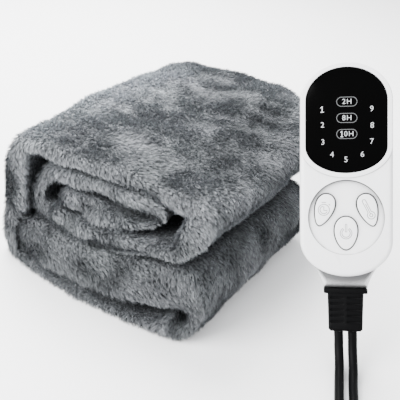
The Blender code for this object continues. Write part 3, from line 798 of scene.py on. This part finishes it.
def strip_ring(station):
    """The section of the strip at a station, once round and back to its first point."""
    middle = (station.outer + station.inner) / 2
    half = (station.outer - station.inner) / 2
    lip = min(half.length, LIP_DEPTH)
    front, back = station.front + lip, station.back - lip
    angles = [math.pi / 2 * step / LIP_STEPS for step in range(LIP_STEPS + 1)]
    rows = [(front - lip * math.cos(angle), math.sin(angle)) for angle in angles]
    rows += [(between(front, back, step / DEPTH_STEPS), 1.0) for step in range(1, DEPTH_STEPS)]
    rows += [(back + lip * math.cos(angle), math.sin(angle)) for angle in reversed(angles)]
    ring = []
    for side, ordered in ((1, rows), (-1, rows[-2::-1])):
        for y, thickness in ordered:
            at = middle + half * (side * thickness)
            ring.append((at.x, y, at.y))
    return ring


def uneven(points):
    """Moves points of the package by the soft waves, and not at all on the underside."""
    settled = np.clip(points[..., 2] / SETTLED_HEIGHT, 0.0, 1.0)
    waved = points.copy()
    for axis, height, across, along in WAVES:
        phase = 2 * math.pi * (points[..., 1] / along + points[..., 2] / across)
        sideways = np.sin(2 * math.pi * points[..., 0] / across + np.cos(phase))
        waved[..., axis] += height * settled * sideways * np.cos(phase * 0.6)
    return waved


def unit(vectors):
    return vectors / np.maximum(np.linalg.norm(vectors, axis=-1, keepdims=True), 1e-9)


def outward(points):
    """Directions out of the strip at every point of its grid."""
    along = np.gradient(points, axis=0)
    closed = points[:, :-1]
    across = np.roll(closed, -1, axis=1) - np.roll(closed, 1, axis=1)
    across = np.concatenate([across, across[:, :1]], axis=1)
    normals = unit(np.cross(along, across))
    for end, inside in ((0, 1), (-1, -2)):  # a free end closes along one line
        normals[end] = unit((points[end] - points[inside]).mean(axis=0))
    return normals


def relief(points, normals):
    """How far the creases lift each point of the cloth (mm)."""
    lifted = np.zeros(points.shape[:-1])
    for crease in CREASES:
        start = np.array(crease.start, float)
        line = np.subtract(crease.end, crease.start).astype(float)
        share = np.clip(((points - start) @ line) / (line @ line), 0.0, 1.0)
        distance = np.linalg.norm(points - start - share[..., None] * line, axis=-1)
        turned_to = np.clip(normals @ np.array(crease.facing, float) * CREASE_FACING, 0.0, 1.0)
        lifted += crease.height * turned_to * np.exp(-((distance / crease.half_width) ** 2))
    return lifted


def ground_cloth(look):
    """The folded ground cloth: a grid rolled round the strip and closed along its seam."""
    points = uneven(np.array([strip_ring(station) for station in strip_stations()]))
    normals = outward(points)
    points = points + normals * relief(points, normals)[..., None]
    settled = np.interp(points[..., 2], *PRESSED_PILE)
    points -= normals * (PILE_DEPTH * settled)[..., None]
    points[..., 2] = np.maximum(points[..., 2], GROUND_LOWEST)
    sections, round_it = points.shape[:2]
    build = bmesh.new()
    build.loops.layers.uv.new("cloth")
    bmesh.ops.create_grid(
        build, x_segments=sections - 1, y_segments=round_it - 1, size=0.5, calc_uvs=True,
    )
    for vert in build.verts:
        section = round((vert.co.x + 0.5) * (sections - 1))
        corner = round((vert.co.y + 0.5) * (round_it - 1))
        vert.co = points[section, corner]
    bmesh.ops.remove_doubles(build, verts=build.verts, dist=SEAM_MERGE)
    moved(build, PACKAGE_CORNER / MM)
    return piece_of("blanket_cloth", build, look, "package", sharp=180)


def exposure(points, normals, tree):
    """How open each point of the cloth lies: 0 is deep between folds, 1 is free."""
    spread = []
    for tilt, count in OPEN_RINGS:
        for step in range(count):
            angle = 2 * math.pi * (step + tilt) / count
            flat = math.sin(tilt)
            spread.append((flat * math.cos(angle), flat * math.sin(angle), math.cos(tilt)))
    spread.append((0.0, 0.0, 1.0))
    weights = np.array([z for _, _, z in spread])
    open_share = np.zeros(len(points))
    for i, (point, normal) in enumerate(zip(points, normals)):
        up = Vector(normal)
        if up.length < 0.5:
            continue
        side = up.orthogonal().normalized()
        other = up.cross(side)
        start = Vector(point) + up * OPEN_START
        total = 0.0
        for (a, b, c), weight in zip(spread, weights):
            ray = side * a + other * b + up * c
            if ray.z < 0 and start.z / -ray.z < FLOOR_REACH:
                continue
            if tree.ray_cast(start, ray, OPEN_REACH)[0] is None:
                total += weight
        open_share[i] = total / weights.sum()
    return open_share


def convexity(mesh, points, normals):
    """Where the cloth turns outwards, as on the edge of a fold (1), and where it doesn't (0)."""
    edges = read(mesh.edges, "vertices", 2, np.int32)
    line = unit(points[edges[:, 1]] - points[edges[:, 0]])
    turning, meeting = np.zeros(len(points)), np.zeros(len(points))
    for this, way in ((0, 1), (1, -1)):
        np.add.at(turning, edges[:, this], -way * (line * normals[edges[:, this]]).sum(axis=1))
        np.add.at(meeting, edges[:, this], 1)
    meeting = np.maximum(meeting, 1)
    turning /= meeting
    for _ in range(CONVEX_SMOOTHING):
        total = np.zeros(len(points))
        np.add.at(total, edges[:, 0], turning[edges[:, 1]])
        np.add.at(total, edges[:, 1], turning[edges[:, 0]])
        turning = 0.5 * turning + 0.5 * total / meeting
    return np.clip(turning / CONVEX_FULL, -0.6, 1.0)


def patchiness(points):
    """Painted light and painted shade on the brushed pile from the listed patches, in package millimetres.
    """
    light = np.zeros(len(points))
    for x, y, z, radius, strength in PAINTED_LIGHT_PATCHES:
        away = np.linalg.norm(points - np.array((x, y, z), float), axis=1)
        light += strength / 10 * np.exp(-((away / radius) ** 2))
    return light


def waves(points, *rows):
    """Smooth noise at every point: each row is its strength, its size (mm) and its seed."""
    total = 0
    for strength, size, seed in rows:
        scale, shift = 1 / size, Vector((seed * 17.3, seed * 5.1, seed * 9.7))
        total += strength * np.array([noise.noise(Vector(p) * scale + shift) for p in points])
    return total


def read(items, name, width, kind):
    """One value or vector of every item of a mesh."""
    values = np.zeros(len(items) * width, kind)
    items.foreach_get(name, values)
    return values.reshape(-1, width)


def in_table_mm(points):
    """Points of the model in millimetres of the package's tables."""
    return (points - np.array(PACKAGE_CORNER)) / MM


def cloth_tone_and_painted_light(mesh, points, normals, shown):
    """How light the pile is over the cloth: random mottle, and painted light and painted shade on its
    patches, fold edges and creases, on its sides, lower down and deep between folds.
    """
    at = in_table_mm(points)
    # painted shade on the sides that face the front, the back and the left
    sides = (-normals[:, 1], normals[:, 1], -normals[:, 0])
    front, back, left = (np.clip(side, 0.0, 1.0) for side in sides)
    tone = np.clip(patchiness(at), *PAINTED_PATCH_RANGE) + waves(at, MOTTLE)
    # painted highlight on fold edges and painted shade in the hollows between them
    tone += FOLD_EDGE_PAINTED_LIGHT * convexity(mesh, points, normals)
    tone -= FRONT_PAINTED_SHADE * front
    tone -= BACK_PAINTED_SHADE * back ** 2 + LEFT_PAINTED_SHADE * left ** 2
    # painted light on crease ridges and painted shade in crease troughs
    tone += CREASE_PAINTED_LIGHT * np.clip(relief(at, normals), *CREASE_PAINTED_RANGE)
    tone = TONE_LEVEL * np.exp(tone)
    tone *= np.interp(at[:, 2], *HEIGHT_PAINTED_SHADE)
    tone *= np.interp(shown, *SHELTERED_PAINTED_SHADE)
    return np.clip(tone, *TONE_RANGE)


def swung(ahead, aside, angle):
    """Each direction ahead, turned by its angle towards the direction aside."""
    return ahead * np.cos(angle)[:, None] + aside * np.sin(angle)[:, None]


def grow_pile(cloth, look, settings):
    """Strands in tufts over what shows of the cloth, joined into a few meshes."""
    mesh = cloth.data
    mesh.calc_loop_triangles()
    points = read(mesh.vertices, "co", 3, np.float32).astype(float)
    normals = read(mesh.vertex_normals, "vector", 3, np.float32).astype(float)
    corners = read(mesh.loop_triangles, "vertices", 3, np.int32)
    tree = BVHTree.FromObject(cloth, bpy.context.evaluated_depsgraph_get())
    shown = exposure(points, normals, tree)
    tone = cloth_tone_and_painted_light(mesh, points, normals, shown)
    # The ground cloth and every strand carry this tone with its painted light and painted shade.
    light = mesh.attributes.new("tuft_tone_and_painted_light", "FLOAT", "POINT")
    light.data.foreach_set("value", (tone * GROUND_TONE).astype(np.float32))

    rng = np.random.default_rng(7)
    tufts = settings.tufts
    a, b, c = (points[corners[:, k]] for k in range(3))
    area = np.linalg.norm(np.cross(b - a, c - a), axis=1) / 2
    wanted = area * np.interp(shown[corners].mean(axis=1), *SHOWN_SHARE)
    running = np.cumsum(wanted)
    steps = (np.arange(tufts) + rng.random(tufts)) / tufts * running[-1]
    chosen = corners[np.minimum(np.searchsorted(running, steps), len(corners) - 1)]
    u, v = rng.random(tufts), rng.random(tufts)
    over = u + v > 1
    u[over], v[over] = 1 - u[over], 1 - v[over]
    share = np.stack([1 - u - v, u, v], axis=1)
    at = (points[chosen] * share[..., None]).sum(axis=1)
    up = unit((normals[chosen] * share[..., None]).sum(axis=1))
    tuft_tone_and_painted_light = (tone[chosen] * share).sum(axis=1)

    at_mm = in_table_mm(at)
    flat = unit(BRUSHED - (up @ BRUSHED)[:, None] * up)
    swirl = waves(at_mm, *SWIRLS) + rng.normal(0, SWIRL_SPREAD, tufts)
    way = swung(flat, np.cross(up, flat), swirl)
    lean = settings.lean + waves(at_mm, LEANS) + rng.normal(0, LEAN_SPREAD, tufts)
    lean = np.clip(lean, *LEAN_RANGE)
    length = settings.pile_length * (1 + waves(at_mm, LENGTHS)) * rng.uniform(*LENGTH_RANGE, tufts)
    tuft_tip = at + swung(up, way, lean) * length[:, None]
    tuft_tone_and_painted_light *= np.exp(LEAN_PAINTED_SHEEN * (lean - settings.lean) + rng.normal(*TUFT_LIGHT, tufts))

    hairs = settings.hairs
    total = tufts * hairs
    at, up, way, lean, length, tuft_tip, tuft_tone_and_painted_light = (
        np.repeat(values, hairs, axis=0) for values in (at, up, way, lean, length, tuft_tip, tuft_tone_and_painted_light)
    )
    side = np.cross(up, way)
    angle, reach = rng.uniform(0, 2 * math.pi, total), np.sqrt(rng.random(total)) * TUFT_RADIUS
    root = at + swung(way, side, angle) * reach[:, None] - up * ROOT_DEPTH
    lean = np.clip(lean + rng.normal(0, STRAND_LEAN_SPREAD, total), *STRAND_LEAN_RANGE)
    way = swung(way, side, rng.normal(0, STRAND_TWIST, total))
    size = (length * rng.uniform(*STRAND_LENGTH, total))[:, None]
    tip = root + swung(up, way, lean) * size
    tip += (tuft_tip - tip) * rng.uniform(*CLUMPING, total)[:, None]
    broad = unit(np.cross(tip - root, up)) + up * rng.normal(0, STRAND_TILT, total)[:, None]
    broad = unit(broad) * settings.hair_width / 2
    strands = np.stack([root - broad, root + broad, tip], axis=1)
    strands[..., 2] = np.maximum(strands[..., 2], STRAND_LOWEST)
    light = np.clip(tuft_tone_and_painted_light * np.exp(rng.normal(*STRAND_LIGHT, total)), *STRAND_LIGHT_RANGE)
    parts = np.array_split(np.arange(total), PILE_PIECES)
    return [
        strand_mesh(f"plush_pile_{number}", strands[part], light[part], look)
        for number, part in enumerate(parts, 1)
    ]


def strand_mesh(name, strands, light, look):
    """One joined mesh of strands, each a long thin triangle with its tip last."""
    count = len(strands)
    mesh = bpy.data.meshes.new(name)
    mesh.vertices.add(count * 3)
    mesh.vertices.foreach_set("co", strands.astype(np.float32).ravel())
    mesh.loops.add(count * 3)
    mesh.loops.foreach_set("vertex_index", np.arange(count * 3, dtype=np.int32))
    mesh.polygons.add(count)
    mesh.polygons.foreach_set("loop_start", np.arange(count, dtype=np.int32) * 3)
    heights = np.tile(np.array((0.0, 0.0, 1.0)), count)
    for attribute, values in (("pile_height", heights), ("tuft_tone_and_painted_light", np.repeat(light, 3))):
        layer = mesh.attributes.new(attribute, "FLOAT", "POINT")
        layer.data.foreach_set("value", values.astype(np.float32))
    mesh.update(calc_edges=True)
    mesh.shade_smooth()
    return new_piece(name, mesh, look, "package")


# ---------------------------------------------------------------- handset


def on_face(x=0.0, y=0.0, z=0.0):
    """The place of a piece that stands at this point (mm) of the handset's own frame."""
    return HANDSET_FRAME @ Matrix.Translation(Vector((x, y, z)) * MM)


def front_cover(look):
    """The front cover with the rim round its display, the tilted dish and the button pockets."""
    cover = plate(capsule(BODY), PARTING_Z + GAP / 2, FACE_Z, bevel_high=FRONT_ROUND, segments=8)
    rim = plate(capsule(DISPLAY, grow=RIM_WIDTH), PARTING_Z + 1.0, RIM_HEIGHT, bevel_high=RIM_ROUND)
    recess = plate(capsule(DISPLAY, grow=GAP), -DISPLAY_RECESS, CUT_HEIGHT)
    tools = [("UNION", rim), ("DIFFERENCE", recess)]
    slope = math.atan2(DISH_TOP_DEPTH - DISH_BOTTOM_DEPTH, 2 * DISH_RADIUS)
    middle_depth = (DISH_TOP_DEPTH + DISH_BOTTOM_DEPTH) / 2
    shares = [k / DISH_ROWS for k in range(DISH_ROWS + 1)]
    floor = [(DISH_RADIUS * share, -DISH_HOLLOW * (1 - share ** 2)) for share in shares]
    dish = turned(floor + [(DISH_RADIUS, 2 * CUT_HEIGHT), (0.0, 2 * CUT_HEIGHT)])
    inner = DISH_RADIUS - GROOVE_WIDTH
    groove = turned(
        [
            (inner, GROOVE_FLOOR), (DISH_RADIUS, GROOVE_FLOOR),
            (DISH_RADIUS, GROOVE_TOP), (inner, GROOVE_TOP),
        ],
        GROOVE_START, GROOVE_SWEEP,
    )
    for hollow in (dish, groove):
        bmesh.ops.rotate(hollow, matrix=Matrix.Rotation(-slope, 3, "X"), verts=hollow.verts)
        tools.append(("DIFFERENCE", moved(hollow, (*DISH_AT, -middle_depth))))
    for button in BUTTONS:
        pocket = plate(egg(button, grow=BUTTON_GAP), POCKET_FLOOR, CUT_HEIGHT)
        tools.append(("DIFFERENCE", moved(pocket, (button.x, button.y, 0))))
    build = cut(cover, tools, soften=0.22)
    piece = piece_of("handset_front_cover", build, look, "package", on_face())
    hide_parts("handset_front")


def back_cover(look):
    """The back cover with the neck that the boot's collar is clipped on."""
    cover = plate(capsule(BODY), BACK_Z, PARTING_Z - GAP / 2, bevel_low=BACK_ROUND, segments=8)
    outline = [*NECK, *((-x, y) for x, y in reversed(NECK))]
    neck = plate(outline, NECK_BACK_Z, NECK_FRONT_Z, bevel_low=3.0, bevel_high=4.0, segments=6)
    build = cut(cover, [("UNION", neck)], soften=0.2)
    piece = piece_of("handset_back_cover", build, look, "package", on_face())
    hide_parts("handset_back")


def display_window(look):
    window = plate(capsule(DISPLAY), GAP - DISPLAY_RECESS, DISPLAY_TOP, bevel_high=0.3, segments=3)
    piece = piece_of("display_glass", window, look, "package", on_face())
    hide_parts("display_window")


def mark(name, build, look, x, y):
    """A thin printed mark at a point of the display (mm)."""
    piece_of(name, build, look, "package", on_face(x, y, DISPLAY_TOP + MARK_LIFT))


def letters(name, words, height):
    """Words as a thin bmesh round its middle, a little finer than the built-in letters."""
    text = bpy.data.curves.new(name, "FONT")
    text.body = words
    text.align_x, text.align_y = "CENTER", "CENTER"
    text.size = height / LETTER_SHARE
    text.space_character = LETTER_SPACING
    text.extrude = MARK_THICK / 2
    text.offset = LETTER_OFFSET
    text.resolution_u = 4
    build = applied(new_object(name + "_letters", text))
    bmesh.ops.remove_doubles(build, verts=build.verts, dist=MERGE)
    return build


def pill():
    """A thin outline round an hour mark."""
    width, height = PILL_SIZE
    straight = (width - height) / 2
    build = bmesh.new()
    for inset in (0.0, PILL_LINE):
        radius = height / 2 - inset
        round_it = arc(radius, -90, 90, 16, x=straight) + arc(radius, 90, 270, 16, x=-straight)
        ring = [build.verts.new((*point, 0)) for point in round_it]
        for start, end in zip(ring, ring[1:] + ring[:1]):
            build.edges.new((start, end))
    bmesh.ops.bridge_loops(build, edges=build.edges[:])
    thicken(build, build.faces[:], MARK_THICK)
    return build


def figure_one(height, half):
    """The figure 1 with its flag and its foot, which the built-in letters don't have."""
    top, foot = height / 2, ONE_FOOT - height / 2
    return plate((
        (-half, -top), (half, -top), (half, foot), (0.32, foot), (0.32, top), (-0.15, top),
        (-half, top - 0.9), (-half, top - 1.5), (-0.3, top - 0.9), (-0.3, foot), (-half, foot),
    ), 0.0, MARK_THICK)


def printed_marks(look, outline_look, settings):
    height = settings.digit_height / MM
    for words, x, y in DIGITS:
        mark(f"heat_mark_{words}", letters("digit", words, height), look, x, y)
    for name, x, y, half in FIGURES_ONE:
        mark(name, figure_one(height, half), look, x, y)
    for words, x, y in HOURS:
        mark(f"hour_mark_{words}", letters("hours", words, height * HOUR_SHARE), look, x, y)
        mark(f"hour_outline_{words}", pill(), outline_look, PILL_X, y)


def line_icon(name, strokes, look, button):
    """Fine raised lines on a button: each stroke is a row of points on the button's top (mm)."""
    flat = [([(x, y, 0.0) for x, y in points], closed) for points, closed in strokes]
    build = applied(new_object(name + "_lines", round_line(name, ICON_WIDTH, 2, flat)))
    bmesh.ops.scale(build, vec=(1, 1, 0.5), verts=build.verts)
    at = on_face(button.x, button.y, button.top + ICON_LIFT)
    piece_of(name, build, look, button.body, at)


def icon_strokes():
    """The three icons: a clock with a bell bar, a thermometer that leans, and a power mark."""
    clock = [
        (arc(4.0, 0, 360, 40)[:-1], True),
        (arc(2.7, 100, 330, 24), False),
        ([(0, 2.4), (0, -0.4), (2.4, -0.4)], False),
        ([(-1.5, 5.4), (1.5, 5.4)], False),
        ([(3.5, 4.2), (4.4, 3.3)], False),
    ]
    thermometer = [
        (arc(1.2, 0, 180, 12, y=7.0) + arc(2.7, 116, 424, 28, y=-4.2), True),
        (arc(1.1, 0, 360, 16, y=-4.2)[:-1], True),
        ([(0, 4.6), (0, -3.1)], False),
    ]
    lean = Matrix.Rotation(math.radians(27), 2)
    thermometer = [
        ([tuple(lean @ Vector(p)) for p in points], closed) for points, closed in thermometer
    ]
    ring = arc(4.1, 125, 415, 36) + arc(2.9, 125, 415, 36)[::-1]
    power = [(ring, True), ([(-0.55, 0.9), (-0.55, 6.4), (0.55, 6.4), (0.55, 0.9)], True)]
    return clock, thermometer, power


def push_buttons(look, icon_look):
    for button, strokes in zip(BUTTONS, icon_strokes()):
        key = plate(egg(button), BUTTON_BOTTOM, button.top, bevel_high=BUTTON_ROUND, segments=5)
        place = on_face(button.x, button.y)
        cap = piece_of(f"{button.name}_cap", key, look, button.body, place)
        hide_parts(button.name)
        line_icon(f"{button.name}_icon", strokes, icon_look, button)


def cord_boot(look):
    """The ribbed strain relief: a collar, a tapered body and two columns of grooves on each face."""
    _, collar_height, _ = COLLAR_SIZE
    collar = rounded_box(COLLAR_SIZE, 1.0, (0, COLLAR_TOP - collar_height / 2, BOOT_Z))
    top, half_top, half_end = COLLAR_TOP - collar_height + 1.5, BOOT_TOP_WIDTH / 2, BOOT_END_WIDTH / 2
    outline = ((half_top, top), (half_end, BOOT_END + 1.5), (half_end - 1.5, BOOT_END))
    outline += tuple((-x, y) for x, y in reversed(outline))
    body = plate(outline, -BOOT_DEPTH / 2, BOOT_DEPTH / 2, bevel_low=2.0, bevel_high=2.0)
    tools = [("UNION", moved(body, (0, 0, BOOT_Z)))]
    for row in range(RIB_ROWS):
        for column in (-1, 1):
            for face in (-1, 1):
                at = (column * RIB_COLUMN_X, FIRST_RIB_Y - row * RIB_PITCH, BOOT_Z + face * BOOT_DEPTH / 2)
                tools.append(("DIFFERENCE", rounded_box(RIB_GROOVE, 0.4, at, segments=2)))
    build = cut(collar, tools, soften=0.2)
    piece = piece_of("cord_boot_ribs", build, look, "package", on_face())
    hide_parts("cord_boot")


# ---------------------------------------------------------------- leads


def smooth_route(points, spacing):
    """Points at about this spacing on the Catmull-Rom curve through a route's points."""
    points = [Vector(p) for p in points]
    padded = [2 * points[0] - points[1], *points, 2 * points[-1] - points[-2]]
    fine = []
    for before, start, end, after in zip(padded, padded[1:], padded[2:], padded[3:]):
        for step in range(12):
            t = step / 12
            fine.append(0.5 * (
                2 * start
                + (end - before) * t
                + (2 * before - 5 * start + 4 * end - after) * t * t
                + (3 * start - before - 3 * end + after) * t ** 3
            ))
    fine.append(points[-1])
    lengths = [0.0]
    for start, end in zip(fine, fine[1:]):
        lengths.append(lengths[-1] + (end - start).length)
    count = max(1, round(lengths[-1] / spacing))
    kept = []
    for step in range(count + 1):
        wanted = lengths[-1] * step / count
        nearest = min(range(len(fine)), key=lambda i: abs(lengths[i] - wanted))
        kept.append(fine[nearest])
    return kept


def winding_points(winding):
    """The turns of a wound lead, which moves over to its next turn in one short stretch of each."""
    points = []
    count = round(abs(winding.sweep) / WINDING_STEP)
    way = 1 if winding.sweep > 0 else -1
    last = len(winding.turns) - 1
    for step in range(count + 1):
        swept = abs(winding.sweep) * step / count
        turn, into = int(swept // 360), swept % 360
        this, following = winding.turns[min(turn, last)], winding.turns[min(turn + 1, last)]
        share = min(1.0, max(0.0, (into - winding.shift_at) / (360 - winding.shift_at)))
        share = share * share * (3 - 2 * share)
        radius, height = (between(*pair, share) for pair in zip(this, following))
        angle = math.radians(winding.start + way * swept)
        points.append(Vector((
            winding.x + radius * math.cos(angle), winding.y + radius * math.sin(angle), height
        )))
    return points


def lead(name, side, route, winding, tail, look):
    """One lead as a single open curve, from the boot through its winding to its plug."""
    exit_at = HANDSET_FRAME @ (Vector((side * EXIT_X, BOOT_END - GAP, BOOT_Z)) * MM)
    start = (exit_at - PACKAGE_CORNER) / MM
    points = smooth_route((start, *route), LEAD * 0.8)
    points += winding_points(winding)
    points += smooth_route(tail, LEAD * 0.6)
    curve = round_line(name, LEAD * MM, 5, [([in_package(at) for at in points], False)])
    return new_piece(name, curve, look, "package"), tuple(exit_at)


# ---------------------------------------------------------------- operators


class OBJECT_OT_set_studio(bpy.types.Operator):
    """Sets the plain floor, the soft lights and the camera"""

    bl_idname = "object.heated_blanket_studio"
    bl_label = "Studio"

    def execute(self, context):
        settings = context.scene.heated_blanket_studio
        build = bmesh.new()
        bmesh.ops.create_grid(build, x_segments=1, y_segments=1, size=FLOOR_HALF)
        mesh = bpy.data.meshes.new("studio_floor")
        build.to_mesh(mesh)
        build.free()
        mesh.materials.append(moulded("floor", settings.floor_colour, 0.8, 0.02, 40.0))
        new_object("studio_floor", mesh)

        world = bpy.data.worlds.new("studio sky")
        world.use_nodes = True
        sky = world.node_tree.nodes["Background"]
        sky.inputs["Color"].default_value = SKY_COLOUR
        sky.inputs["Strength"].default_value = settings.sky_strength
        context.scene.world = world

        middle = in_package(LIGHTS_AIM)
        for (name, at, size), power in zip(LIGHTS, (settings.key_power, settings.fill_power)):
            lamp = bpy.data.lights.new(name, "AREA")
            lamp.size = size
            lamp.energy = power
            holder = new_object(name, lamp)
            holder.location = in_package(at)
            holder.rotation_euler = (middle - holder.location).to_track_quat("-Z", "Y").to_euler()

        lens = bpy.data.cameras.new("photo_camera")
        lens.lens = CAMERA_LENS
        lens.sensor_width = CAMERA_SENSOR
        lens.clip_start = 0.01
        lens.clip_end = 20.0
        camera = new_object("photo_camera", lens)
        camera.matrix_world = (
            Matrix.Translation(PACKAGE_CORNER + CAMERA_AT)
            @ Matrix.Rotation(CAMERA_ROUND, 4, "Z")
            @ Matrix.Rotation(math.pi / 2 - CAMERA_DOWN, 4, "X")
            @ Matrix.Rotation(CAMERA_ROLL, 4, "Z")
        )
        context.scene.camera = camera
        return {"FINISHED"}


class OBJECT_OT_place_leads(bpy.types.Operator):
    """Lays both leads from the boot into their coils, with their plug and connector"""

    bl_idname = "object.heated_blanket_leads"
    bl_label = "Leads"

    def execute(self, context):
        settings = context.scene.heated_blanket_leads
        rubber = moulded("black rubber", settings.rubber_colour, 0.45, 0.25, 1800.0, specular=0.04)
        plated = moulded("plated pin", settings.pin_colour, 0.25, 0.1, 3000.0, metallic=1.0)
        names = ("mains_plug", "mains_pin_left", "mains_pin_right", "blanket_lead_connector")
        plug, left_pin, right_pin, connector = ends = [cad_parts[name] for name in names]
        for end, look in zip(ends, (rubber, plated, plated, rubber)):
            end.data.materials.clear()
            end.data.materials.append(look)
        cord, exit_at = lead("mains_cord", 1, MAINS_ROUTE, MAINS_WINDING, MAINS_TAIL, rubber)
        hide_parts("mains_lead", "mains_lead_coil", "mains_lead_tail")
        cord, exit_at = lead("blanket_cord", -1, BLANKET_ROUTE, BLANKET_WINDING, BLANKET_TAIL, rubber)
        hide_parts("blanket_lead", "blanket_lead_coil", "blanket_lead_tail")
        cord_boot(rubber)
        return {"FINISHED"}


class OBJECT_OT_fold_blanket(bpy.types.Operator):
    """Folds the ground cloth and grows its pile"""

    bl_idname = "object.heated_blanket_cloth"
    bl_label = "Plush blanket"

    def execute(self, context):
        settings = context.scene.heated_blanket_plush
        cloth = ground_cloth(plush("plush ground", settings, is_pile=False))
        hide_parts("blanket")
        pile = grow_pile(cloth, plush("plush pile", settings, is_pile=True), settings)
        return {"FINISHED"}


class OBJECT_OT_mould_handset(bpy.types.Operator):
    """Moulds the covers and the display window, and prints the marks"""

    bl_idname = "object.heated_blanket_handset"
    bl_label = "Handset"

    def execute(self, context):
        settings = context.scene.heated_blanket_handset
        shell, black = settings.shell_colour, (0.0006, 0.0006, 0.0006)
        faint_colour = [share * OUTLINE_SHARE for share in settings.mark_colour]
        # Both covers get painted shade in gaps and on walls turned away from the face; on the back cover
        # it reaches far enough to darken the neck under the front cover.
        front = moulded("white satin plastic", shell, 0.34, 0.05, 2600.0, reach=0.009)
        glass = moulded("black display", black, 0.12, 0.01, 3000.0, specular=0.02, spread=0.03)
        ink = moulded("printed mark", settings.mark_colour, 0.6, 0.05, 3000.0)
        back = moulded("white back plastic", shell, 0.36, 0.05, 2600.0, reach=0.03, darkest_painted_shade=0.86)
        faint = moulded("printed outline", faint_colour, 0.6, 0.05, 3000.0)
        front_cover(front)
        back_cover(back)
        display_window(glass)
        printed_marks(ink, faint, settings)
        return {"FINISHED"}


class OBJECT_OT_fit_buttons(bpy.types.Operator):
    """Fits the three push buttons with their icons"""

    bl_idname = "object.heated_blanket_buttons"
    bl_label = "Push buttons"

    def execute(self, context):
        settings = context.scene.heated_blanket_handset
        # painted shade in the gaps round the buttons
        shell = moulded("white button plastic", settings.shell_colour, 0.36, 0.05, 2600.0, reach=0.004)
        icon = moulded("icon line", (0.12, 0.122, 0.125), 0.5, 0.05, 3000.0)
        push_buttons(shell, icon)
        return {"FINISHED"}


class VIEW3D_PT_heated_blanket(bpy.types.Panel):
    """Lists the steps that build the heated blanket"""

    bl_label = "Heated blanket"
    bl_idname = "VIEW3D_PT_heated_blanket"
    bl_space_type = "VIEW_3D"
    bl_region_type = "UI"
    bl_category = "Heated blanket"

    def draw(self, context):
        for step in STEPS:
            self.layout.operator(step.bl_idname)


STEPS = (
    OBJECT_OT_set_studio,
    OBJECT_OT_place_leads,
    OBJECT_OT_fold_blanket,
    OBJECT_OT_mould_handset,
    OBJECT_OT_fit_buttons,
)
SETTINGS = {
    "heated_blanket_plush": BlanketSettings,
    "heated_blanket_handset": HandsetSettings,
    "heated_blanket_leads": LeadSettings,
    "heated_blanket_studio": StudioSettings,
}


def register():
    for kind in (*SETTINGS.values(), *STEPS, VIEW3D_PT_heated_blanket):
        bpy.utils.register_class(kind)
    for name, kind in SETTINGS.items():
        setattr(bpy.types.Scene, name, bpy.props.PointerProperty(type=kind))


def unregister():
    for name in SETTINGS:
        delattr(bpy.types.Scene, name)
    for kind in (VIEW3D_PT_heated_blanket, *reversed(STEPS), *SETTINGS.values()):
        bpy.utils.unregister_class(kind)


def main():
    register()
    bpy.ops.object.heated_blanket_studio()
    bpy.ops.object.heated_blanket_leads()
    bpy.ops.object.heated_blanket_cloth()
    bpy.ops.object.heated_blanket_handset()
    bpy.ops.object.heated_blanket_buttons()


if __name__ == "__main__":
    main()
